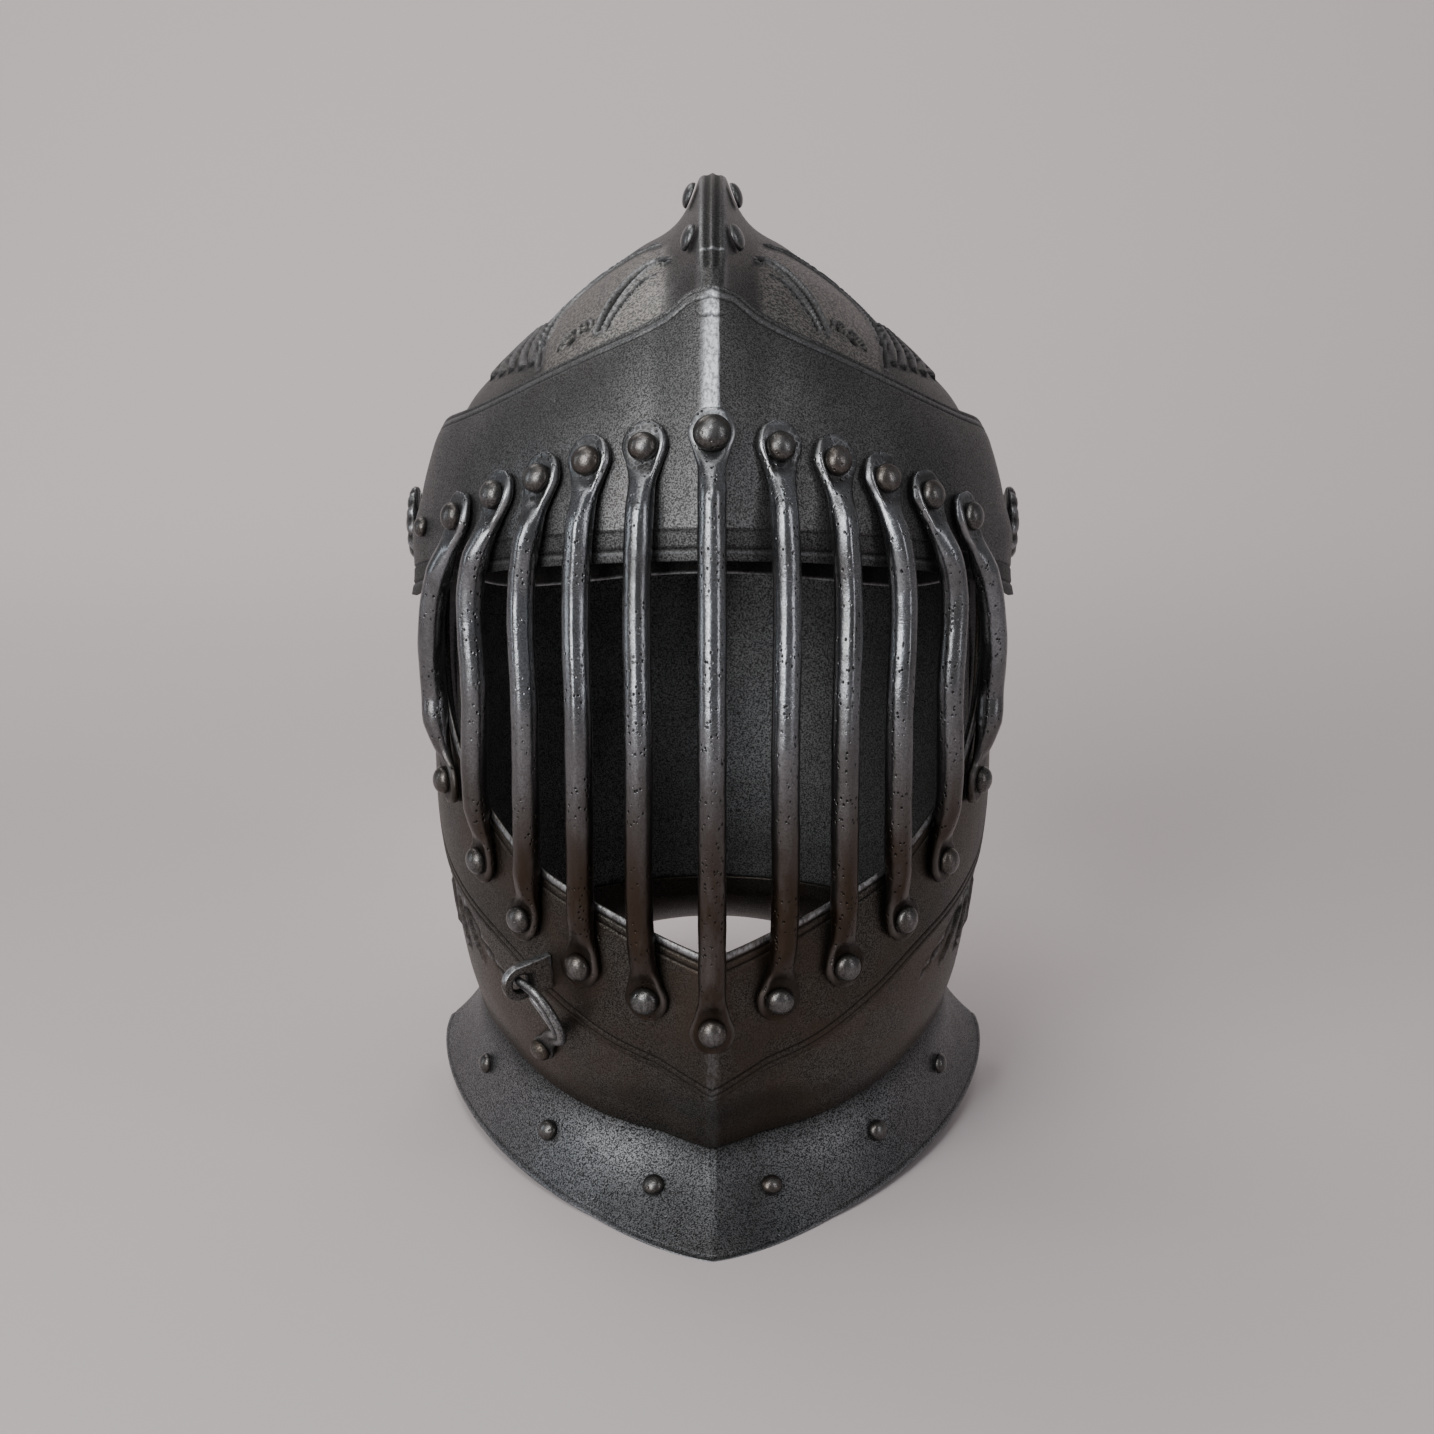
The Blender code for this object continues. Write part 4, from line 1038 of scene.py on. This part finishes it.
def add_backdrop():
    """One sheet of paper: a floor that turns up into the wall behind."""
    columns, rows = 12, 48
    width, length, front, start, radius = 5.0, 5.2, -1.7, 2.6, 0.9
    mesh, column, row = unit_grid("backdrop", columns, rows)
    along = row / rows * length
    bend = np.clip(along - start, 0, radius * math.pi / 2) / radius
    past = np.maximum(0, along - start - radius * math.pi / 2)
    y = front + np.minimum(along, start) + radius * np.sin(bend)
    z = radius * (1 - np.cos(bend)) + past
    place(mesh, np.stack([(column / columns - 0.5) * width, y, z], -1))
    mesh.materials.append(backdrop_paper())
    mesh.shade_smooth()
    made = bpy.data.objects.new("backdrop", mesh)
    bpy.context.scene.collection.objects.link(made)


def add_light(name, size, place_at, aim, watts, colour):
    light = bpy.data.lights.new(name, "AREA")
    light.shape = "RECTANGLE"
    light.size, light.size_y = size
    light.energy = watts
    light.color = colour
    made = bpy.data.objects.new(name, light)
    made.location = place_at
    made.rotation_mode = "QUATERNION"
    made.rotation_quaternion = (Vector(aim) - Vector(place_at)).to_track_quat("-Z", "Y")
    bpy.context.scene.collection.objects.link(made)


HELMET_MIDDLE = (0.0, 0.0, 0.17)
LIGHTS = (  # name, size, place, aim, watts, colour
    ("key_window", (0.75, 1.5), (-1.05, -1.45, 0.95), HELMET_MIDDLE, 23.0, (1.0, 0.985, 0.975)),
    ("left_rim", (0.30, 1.0), (-1.6, -0.20, 0.55), HELMET_MIDDLE, 3.0, (0.86, 0.93, 1.0)),
    ("key_strip", (0.28, 1.3), (-0.64, -1.64, 0.90), HELMET_MIDDLE, 12.5, (0.94, 0.97, 1.0)),
    ("right_fill", (0.25, 1.2), (1.25, -1.0, 0.75), HELMET_MIDDLE, 4.3, (0.97, 0.95, 1.0)),
    ("overhead", (1.0, 0.9), (-0.25, -0.30, 1.75), HELMET_MIDDLE, 5.5, (1.0, 0.985, 0.975)),
    ("back_window", (0.7, 0.7), (-0.70, 0.75, 1.55), (0.0, 0.0, 0.1), 5.6, (1.0, 0.985, 0.975)),
    ("behind_glow", (0.10, 0.10), (0.0, 0.27, 0.22), (0.0, 0.22, 0.0), 0.20, (1.0, 0.98, 0.97)),
    ("crest_strip", (0.22, 0.5), (-0.12, -1.15, 1.55), HELMET_MIDDLE, 4.0, (0.97, 0.99, 1.0)),
)


def add_studio():
    add_backdrop()
    for light in LIGHTS:
        add_light(*light)
    world = bpy.data.worlds.new("studio_air")
    world.use_nodes = True
    air = world.node_tree.nodes["Background"]
    air.inputs["Color"].default_value = (0.98, 0.97, 1.0, 1.0)
    air.inputs["Strength"].default_value = 0.275
    bpy.context.scene.world = world


# ---------------------------------------------------------------- the plates


def brow_relief(points, height, from_low, from_high):
    """Two cut lines above the sights, two under the top edge and a short one over the keel."""
    rise = grooves(from_low, BROW_LOW_LINES) + grooves(from_high, BROW_HIGH_LINES)
    over_keel = peak(points[:, 0], 0, KEEL_LINE_HALF, 4)
    rise += groove(from_high + 0.4 * points[:, 0] ** 2 / 0.01, *KEEL_LINE) * over_keel
    # Painted shade in the cut lines; darker over the lowest 9 to 10 mm.
    crevice = np.maximum(-rise / 0.00065, 0.42 * (1 - smooth_step(from_low, 0.0090, 0.0100)))
    rise += waves(points, *HAMMERING["brow"])
    # A painted highlight on the keel's polished flat, soft on its left and crisp on its right, and lighter
    # bands along both edges.
    keel = smooth_step(points[:, 0], -0.0046, -0.0008) * (1 - smooth_step(points[:, 0], 0.0021, 0.0025))
    keel *= smooth_step(height, 0.2500, 0.2800) * smooth_step(from_high, 0.0, 0.004)
    edge = peak(from_high, 0.0024, 0.0008) * 0.12
    edge += peak(from_low, 0.0028, 0.0005) * 0.18
    return rise, crevice, keel * 0.9 + edge


def chin_relief(points, from_low, from_high, **_):
    """A rolled sight edge with two cut lines under it, and a doubled line along the lower edge."""
    rise = bead(from_high, *SIGHT_BEAD)
    rise += grooves(from_high, CHIN_HIGH_LINES) + grooves(from_low, CHIN_LOW_LINES)
    # Painted shade in the cut lines.
    crevice = np.clip(-rise / 0.0005, 0, 1)
    rise += waves(points, *HAMMERING["chin"])
    wear = peak(from_high, 0.0014, 0.0010) * 0.40
    keel = peak(points[:, 0], 0, 0.0022, 4) * 0.12
    return rise, crevice, wear + keel


def jaw_relief(points, from_low, **_):
    """Leaves at the sides where the cheek turns into the neck."""

    def lay(at_turn, at_height):
        return plate_point(JAW_FORM, np.float64(at_turn), np.float64(at_height / 1000))

    carved, carved_shade, ridge = carve(points, JAW_STROKES, lay)
    rise = carved + waves(points, *HAMMERING["jaw"])
    keel = peak(points[:, 0], 0, 0.0022, 4) * 0.08
    # Painted shade round the carved leaves and darker over the lowest 9 mm; painted highlight on the carved
    # crests.
    crevice = np.maximum(carved_shade * 0.8, 0.6 * (1 - smooth_step(from_low, 0.0, 0.009)))
    return rise, crevice, np.maximum(keel, ridge * 0.42)


def add_skull():
    columns, rows = 238, 184
    mesh, column, row = unit_grid("skull_shell", columns, rows)
    side = 2 * column / columns - 1
    across = np.sign(side) * np.clip(read_rows(SKULL_COLUMNS, 1, np.abs(side)), 0, 1)
    station = np.clip(read_rows(SKULL_ROWS, 1, row / rows), 0, LAST_STATION)
    points = skull_point(across, station)
    out = skull_normal(across, station)
    crest = smooth_step(station, 0.8, 1.4) * smooth_step(13.0 - station, 0.0, 1.0)
    aside = np.abs(points[:, 0])
    flute = peak(aside, FLUTE_ASIDE, FLUTE_HALF, 4) * crest * smooth_step(station, 3.06, 3.10)

    def lay(x, row_station):
        return skull_point(np.float64(x / CROWN_HALF_MM), np.float64(row_station))

    carved, shaded_hollow, ridge = carve(points, SKULL_STROKES, lay)
    for x, row_station, radius in SCROLL_HOLLOWS:
        for mirror in (1, -1):
            distance = np.linalg.norm(points - lay(mirror * x, row_station), axis=1)
            pit = peak(distance * 1000, 0, radius, 4)
            carved = carved - SCROLL_DEPTH * pit
            shaded_hollow = np.maximum(shaded_hollow, pit)
    rise = carved - FLUTE_DEPTH * flute + waves(points, *HAMMERING["skull"])
    aside_mm = aside * 1000
    rim = [(-x, row_station) for x, row_station in RIM_PATH]
    inside_rim = read_rows(rim, 1, np.clip(aside_mm, rim[0][0], rim[-1][0])) - station
    stipple = smooth_step(aside_mm, *STIPPLE_STARTS) * (1 - smooth_step(aside_mm, *STIPPLE_ENDS))
    stipple *= smooth_step(inside_rim, 0.10, 0.22)
    # Painted shade in the flutes, the carved hollows and on the skull's band just under the brow plate's
    # edge.
    shade_under_brow = smooth_step(station, 0.015, 0.045) * (1 - smooth_step(station, 1.0, 1.6))
    crevice = np.maximum.reduce([flute * 0.72, shaded_hollow * 0.9, shade_under_brow * 0.98])
    # Lighter along the comb's top edges and its crest seam, painted highlight on the carved crests, and a
    # thin lighter line along the lip's edge.
    wear = peak(aside, 0.0044, 0.0008) * 0.22 * crest
    seam = peak(station, COMB_SEAM, 0.012) * (aside < COMB_TOP_HALF) * 0.8
    wear = np.maximum.reduce([wear, ridge * 0.40, seam, 0.45 * (1 - smooth_step(station, 0.0, 0.03))])
    place(mesh, points + out * rise[:, None])
    mark(mesh, crevice=crevice, wear=wear, stipple=stipple * (station > 2.4) * (1 - shaded_hollow) * (1 - ridge))
    cut_bores(mesh)
    thicken(finish("skull_shell", mesh, "skull", ["skull"], "skull"), WALL)


def add_gorget_front():
    columns, rows = 250, 64
    mesh, column, row = unit_grid("gorget_front_shell", columns, rows)
    turn = even_turn(column / columns, FRONT_TURN)
    down = 1 - row / rows
    points = gorget_front_point(turn, down)
    out = -normal_of(gorget_front_point, turn, down, 0.4, 0.004)
    from_rim = np.linalg.norm(points - gorget_front_point(turn, np.ones(len(down))), axis=1)
    rise = groove(from_rim, 0.0022, 0.0005, 0.00030)
    # Painted shade in the groove by the rim, and a broad painted shade round the neck under the bevor.
    crevice = -rise / 0.0005
    crevice += 0.85 * (1 - smooth_step(down, 0.14, 0.46))
    points = points + out * rise[:, None]
    points[:, 2] = np.maximum(points[:, 2], 0.0)
    place(mesh, points)
    mark(mesh, crevice=crevice, wear=peak(from_rim, 0, 0.0008) * 0.3)
    made = finish("gorget_front_shell", mesh, "bevor", ["gorget_front"], "gorget")
    thicken(made, GORGET_WALL)
    settle(made)


def add_gorget_rear():
    columns, rows = 120, 34
    mesh, column, row = unit_grid("gorget_rear_shell", columns, rows)
    turn = REAR_TURN * (1 - 2 * column / columns)
    down = 1 - row / rows
    points = gorget_rear_point(turn, down)
    points[:, 2] = np.maximum(points[:, 2], 0.0)
    place(mesh, points)
    mark(mesh, crevice=np.zeros(len(points)), wear=np.zeros(len(points)))
    made = finish("gorget_rear_shell", mesh, "skull", ["gorget_rear"], "brown")
    thicken(made, GORGET_WALL, "brown")
    settle(made)


# ---------------------------------------------------------------- bars, rivets and pivots


def turn_at(form, x, height):
    return math.degrees(math.asin(max(-1.0, min(1.0, x / float(read_rows(form, 1, height))))))


def bar_size(distance, length):
    from_end = min(distance, length - distance, BAR_TAPER[-1][0])
    return float(read_rows(BAR_TAPER, 1, from_end)), float(read_rows(BAR_TAPER, 2, from_end))


def along_plate(form, edges, column, x, end_x, start, guess, swing):
    """Keys of a bar's middle line, from its flattened end at a height to the plate's edge. A swing
    under 1 keeps most of the sideways bend near the flattened end."""
    edge = guess
    for _ in range(10):
        edge = float(read_rows(edges, column, abs(turn_at(form, end_x, edge))))
    keys = []
    from_end = 0.0
    before = None
    rivet_share = END_RADIUS / abs(edge - start)
    count = max(2, round(abs(edge - start) / 0.006))
    for i in range(count + 1):
        height = start + (edge - start) * i / count
        along = (i / count - rivet_share) / (1 - rivet_share)
        bend = math.copysign(abs(along) ** swing, along)
        turn = turn_at(form, x + (end_x - x) * bend, height)
        point, out = plate_frame(form, turn, height)
        if before is not None:
            from_end += (point - before).length
        before = point
        thickness = bar_size(from_end, 1.0)[1]
        keys.append((point + out * (thickness / 2 + BAR_LIFT), out))
    return keys


def bar_keys(side, row):
    number, top_x, top_height, middle_x, bottom_x, bottom_height, _ = row
    brow_x = side * middle_x * (BROW_SHARE if number < 5 else OUTER_BROW_SHARE)
    chin_x = side * (bottom_x + (middle_x - bottom_x) * 0.90) * CHIN_SHARE
    start = top_height + END_RADIUS
    upper = along_plate(BROW_FORM, BROW_EDGES, 1, side * top_x, brow_x, start, BROW_GUESS, 1.0)
    start = bottom_height - END_RADIUS
    lower = along_plate(CHIN_FORM, CHIN_EDGES, 2, side * bottom_x, chin_x, start, CHIN_GUESS, CHIN_SWING)
    out = (upper[-1][1] + lower[-1][1]).normalized()
    span = (upper[-1][0] - lower[-1][0]).length
    middle = (upper[-1][0] + lower[-1][0]) / 2 + out * (BAR_BOW * span)
    middle.x = side * middle_x
    return upper + [(middle, out)] + lower[::-1]


def bar_stations():
    """Shares of a bar's length, close together over its flattened ends."""
    ends = [0.0, 0.0006, 0.0014, 0.0026, 0.0042, 0.0062]
    ends += [0.0088 + 0.0046 * i for i in range(32)]
    inner = [ends[-1] + (1 - 2 * ends[-1]) * i / 56 for i in range(1, 56)]
    return ends + inner + [1 - share for share in reversed(ends)]


def add_bar(where, side, row):
    """A face bar: spatulate ends with a raised rim round the rivet, drawn out into a round rod."""
    seed = row[0] * 7 + (3 if side < 0 else 0)
    arris = row[6]
    pick = np.random.default_rng(seed)
    phases = pick.uniform(0, 6.28, 6)
    keelward = -side if row[0] else 0

    def section(distance, length, angles):
        width, thickness = bar_size(distance, length)
        from_end = min(distance, length - distance)
        flat = float(smooth_step(width / thickness, 1.1, 3.0))
        power = 1 - 0.35 * flat
        wobble = 1 + 0.012 * math.sin(distance * 210 + phases[0])
        wobble += 0.010 * math.sin(distance * 430 + phases[1])
        sideways = width / 2 * wobble * signed_power(np.cos(angles), power)
        outwards = thickness / 2 * wobble * signed_power(np.sin(angles), power)
        place_across = sideways / (width / 2)
        top = np.clip(np.sin(angles), 0, 1)
        round_part = 1 - flat
        ridge = arris * round_part * peak(angles + ARRIS_LEAN * side, math.pi / 2, ARRIS_HALF)
        outwards = outwards * (1 + ridge)
        rim = END_RIM * peak(np.abs(place_across), 0.80, 0.16)
        lean = np.zeros(len(angles))
        if keelward:
            lean = peak(place_across * keelward, -0.80, 0.13)
            lean *= float(smooth_step(from_end, 0.001, 0.009))
            rim += (TOP_LIP if distance < length / 2 else BOTTOM_LIP) * lean
        window = flat * float(smooth_step(from_end, 0.0002, 0.0020))
        dish = -END_DISH * peak(place_across, 0, 0.55, 4)
        outwards = outwards + (rim + dish) * window * (top > 0.02) * np.sqrt(top)
        dull = 0.72 if keelward else 0.45
        # A darker tone over the flattened ends' windows, and painted shade on the bar's back, which faces the
        # plate.
        crevice = window * dull * (1 - lean) + np.clip(-np.sin(angles), 0, 1) * 0.5
        shown = 0.50 if distance < length / 2 else 0.15
        wear = window * shown * lean * (top > 0.1)
        if not keelward:
            wear = window * peak(np.abs(place_across), 0.92, 0.08) * shown * 0.7 * (top > 0.02)
        return sideways, outwards, crevice, wear

    name = f"bar_{where}"
    keys, stations = bar_keys(side, row), bar_stations()
    rod(name + "_rod", keys, stations, 32, section, "visor", [name], "bar")


def add_rivet(node, frame_at, lift, radius, body, steel, dome=0.78):
    """A hand-set rivet head, lifted off a surface's (point, normal): a dome on a short wall, a
    little out of round."""
    point, axis = frame_at
    profile = [(0.0, radius * dome)]
    for i in range(1, DOME_STEPS):
        angle = math.pi / 2 * i / DOME_STEPS
        level = RIVET_WALL + (dome - RIVET_WALL) * math.cos(angle)
        profile.append((radius * math.sin(angle), radius * level))
    profile += [(radius, radius * RIVET_WALL), (radius * 0.985, 0.0), (0.0, 0.0)]
    pick = np.random.default_rng(len(node) * 31 + ord(node[-1]) * 7 + ord(node[-3]))
    phase, squash = pick.uniform(0, 6.28), pick.uniform(0.01, 0.035)
    mesh, column, row = unit_grid(node + "_head", RIVET_SIDES, len(profile) - 1)
    rings = np.array(profile)
    ring_radius, height = rings[row.astype(int)].T
    angle = 2 * math.pi * (column % RIVET_SIDES) / RIVET_SIDES
    ring_radius = ring_radius * (1 + squash * (np.cos(2 * angle + phase) - 1))
    lean = 1 + 0.05 * np.sin(angle + phase) * ring_radius / radius
    turned(mesh, ring_radius, angle, height * lean, point + axis * lift + axis * GAP, axis)
    rim = smooth_step(ring_radius / radius, 0.93, 0.99)
    # Painted shade round the head's foot; a little lighter on top.
    mark(mesh, crevice=rim * 0.50, wear=peak(ring_radius / radius, 0, 0.55, 4) * 0.12)
    close_up(mesh)
    finish(node + "_head", mesh, body, [node], steel)


def add_bars():
    for row in BARS:
        number, top_x, top_height, _, bottom_x, bottom_height, _ = row
        for side in (-1, 1) if number else (1,):
            where = f"{'left' if side < 0 else 'right'}_{number}" if number else "centre"
            add_bar(where, side, row)
            seat = bar_size(END_RADIUS, 1.0)[1] + BAR_LIFT + SEAT_PLAY
            head = CENTRE_RIVET if number == 0 else BAR_RIVET
            for end, form, x, height, radius in (
                ("top", BROW_FORM, top_x, top_height, head),
                ("bottom", CHIN_FORM, bottom_x, bottom_height, BAR_RIVET),
            ):
                spot = plate_frame(form, turn_at(form, side * x, height), height)
                name = f"bar_rivet_{end}_{where}"
                add_rivet(name, spot, seat, radius, "visor", "rivet")


def add_small_rivets():
    for number, (turn, down) in enumerate(GORGET_RIVETS, 1):
        for side, where in SIDES:
            point = Vector(gorget_front_point(side * turn, down))
            out = -Vector(normal_of(gorget_front_point, side * turn, np.float64(down), 0.5, 0.05))
            name = f"gorget_rivet_{where}_{number}"
            add_rivet(name, (point, out), GORGET_RIVET_LIFT, GORGET_RIVET, "bevor", "rivet")
    for number, (station, across) in enumerate(COMB_RIVETS, 1):
        for side, where in SIDES:
            point = Vector(skull_point(side * across, station))
            out = Vector(skull_normal(np.float64(side * across), np.float64(station)))
            name, dome = f"comb_rivet_{where}_{number}", COMB_RIVET_DOME
            add_rivet(name, (point, out), COMB_RIVET_LIFT, COMB_RIVET, "skull", "dark_rivet", dome)
    spot = plate_frame(BROW_FORM, SIDE_RIVET_TURN, SIDE_RIVET_HEIGHT)
    add_rivet("side_rivet", spot, SIDE_RIVET_LIFT, GORGET_RIVET, "visor", "rivet")
    spot = plate_frame(JAW_FORM, HOOK_TURN, HOOK_HEIGHT)
    add_rivet("hook_rivet", spot, HOOK_RIVET_SEAT, HOOK_RIVET, "bevor", "brown")


def add_pivots():
    def petals(angle):
        return np.cos(ROSETTE_PETALS * angle)

    for side, where in SIDES:
        node, axis = f"pivot_{where}", Vector((side, 0, 0))
        spun(node + "_rosette", ROSETTE, 96, PIVOT, axis, petals, "skull", [node], "pivot")


# ---------------------------------------------------------------- hook and lug


def add_lug():
    """The pierced lug: a plate on edge that the hook's tip passes through."""
    up = LUG_OUT.cross(LUG_FACE).normalized()
    upper = [Vector((out, rise, 0)) for out, rise in LUG_OUTLINE]
    curve, places = through_points(upper)
    half = [curve(places[-1] * i / 24) for i in range(25)]
    outline = half + [Vector((p.x, -p.y, 0)) for p in reversed(half[1:])]
    sides, rings = len(outline), 7
    mesh, column, row = unit_grid("visor_lug_plate", sides, rings)
    points = np.zeros((len(column), 3))
    for i, (c, r) in enumerate(zip(column, row)):
        edge = outline[int(c) % sides]
        angle = math.atan2(edge.y, edge.x)
        hole = Vector((math.cos(angle), math.sin(angle), 0)) * LUG_HOLE
        spot = hole.lerp(edge, r / rings)
        points[i] = LUG_HOLE_CENTRE + LUG_OUT * spot.x + up * spot.y
    place(mesh, points)
    # A painted highlight along the lug's lit upper edge, and painted shade round its hole.
    upper_edge = np.array([outline[int(c) % sides].y > 0.002 for c in column])
    wear = np.where((row >= rings - 0.5) & upper_edge, 0.6, 0.0)
    mark(mesh, crevice=peak(row, 0, 1.6, 4), wear=wear)
    close_up(mesh, fill=False)
    made = finish("visor_lug_plate", mesh, "visor", ["visor_lug"], "lug")
    solid = made.modifiers.new("wall", "SOLIDIFY")
    solid.thickness = LUG_WALL * LUG_STOUTER
    solid.offset = 0.0
    rounded = made.modifiers.new("rounded", "BEVEL")
    rounded.width = 0.0004
    rounded.segments = 2
    rounded.limit_method = "ANGLE"


def add_hook():
    """The swivel hook: a flat eye under its rivet, a bowed shank cut by a groove, a tip in the lug."""
    point, out = plate_frame(JAW_FORM, HOOK_TURN, HOOK_HEIGHT)
    up = (LUG_HOLE_CENTRE - point).normalized()
    up = (up - out * up.dot(out)).normalized()
    keelwards = up.cross(out).normalized()
    lift = (LUG_HOLE_CENTRE - point).dot(out)
    reach = (LUG_HOLE_CENTRE - point).dot(up)
    keys = []
    for along_keel, along_up, off in HOOK_PATH:
        key = point + (keelwards * along_keel + up * along_up) * reach + out * (off * lift)
        keys.append((key, out))

    def section(distance, length, angles):
        at = min(distance, HOOK_TAPER[-1][0])
        width, thickness = float(read_rows(HOOK_TAPER, 1, at)), float(read_rows(HOOK_TAPER, 2, at))
        flat = float(smooth_step(width / thickness, 1.1, 2.2))
        power = 1 - 0.4 * flat
        sideways = width / 2 * signed_power(np.cos(angles), power)
        outwards = thickness / 2 * signed_power(np.sin(angles), power)
        split = peak(sideways / width, 0, 0.13) * (np.sin(angles) > 0.1)
        window = float(smooth_step(distance, *SPLIT_STARTS))
        window *= float(smooth_step(length - distance, *SPLIT_ENDS))
        outwards = outwards - split * window * SPLIT_DEPTH
        drawn = float(smooth_step(distance, *HOOK_DRAWN))
        # Painted shade in the shank's groove and darker over the flat eye; lighter towards the band's outward
        # face.
        wear = np.clip(np.sin(angles), 0, 1) ** 2 * 0.30 * (1 - split) * drawn
        return sideways, outwards, np.maximum(split * window, 0.55 * (1 - drawn)), wear

    stations = [0.0, 0.004, 0.012, 0.026, 0.046, 0.072] + [0.1 + 0.9 * i / 90 for i in range(91)]
    rod("hook_band", keys, stations, 28, section, "hook", ["hook"], "hook")

    def strand_section(distance, length, angles):
        swell = math.sqrt(max(0.05, 1 - (2 * distance / length - 1) ** 4))
        sideways = STRAND_WIDTH / 2 * swell * signed_power(np.cos(angles), 0.7)
        outwards = STRAND_WIDTH / 2 * swell * signed_power(np.sin(angles), 0.7)
        return sideways, outwards, np.zeros(len(angles)), np.clip(np.sin(angles), 0, 1) ** 2 * 0.3

    aside = -(keelwards * 0.67 + up * 0.74)
    strand = [(keys[k][0] + aside * away, keys[k][1]) for k, away in STRAND_ASIDE]
    stations = [i / 40 for i in range(41)]
    rod("hook_strand", strand, stations, 16, strand_section, "hook", ["hook"], "hook")


# ---------------------------------------------------------------- the scene

add_camera()
add_studio()

STEEL = {name: plate_steel(name + "_steel", *look) for name, look in PLATE_STEELS.items()}
STEEL["bar"] = bar_steel("bar_steel", *BAR_LOOK)

add_skull()
face_plate("brow_plate", BROW_FORM, BROW_EDGES, 120, brow_relief, "visor", "brow")
face_plate("upper_bevor", CHIN_FORM, CHIN_EDGES, 104, chin_relief, "visor", "chin")
face_plate("lower_bevor", JAW_FORM, JAW_EDGES, 104, jaw_relief, "bevor", "jaw")
add_gorget_front()
add_gorget_rear()
add_bars()
add_small_rivets()
add_pivots()
add_lug()
add_hook()

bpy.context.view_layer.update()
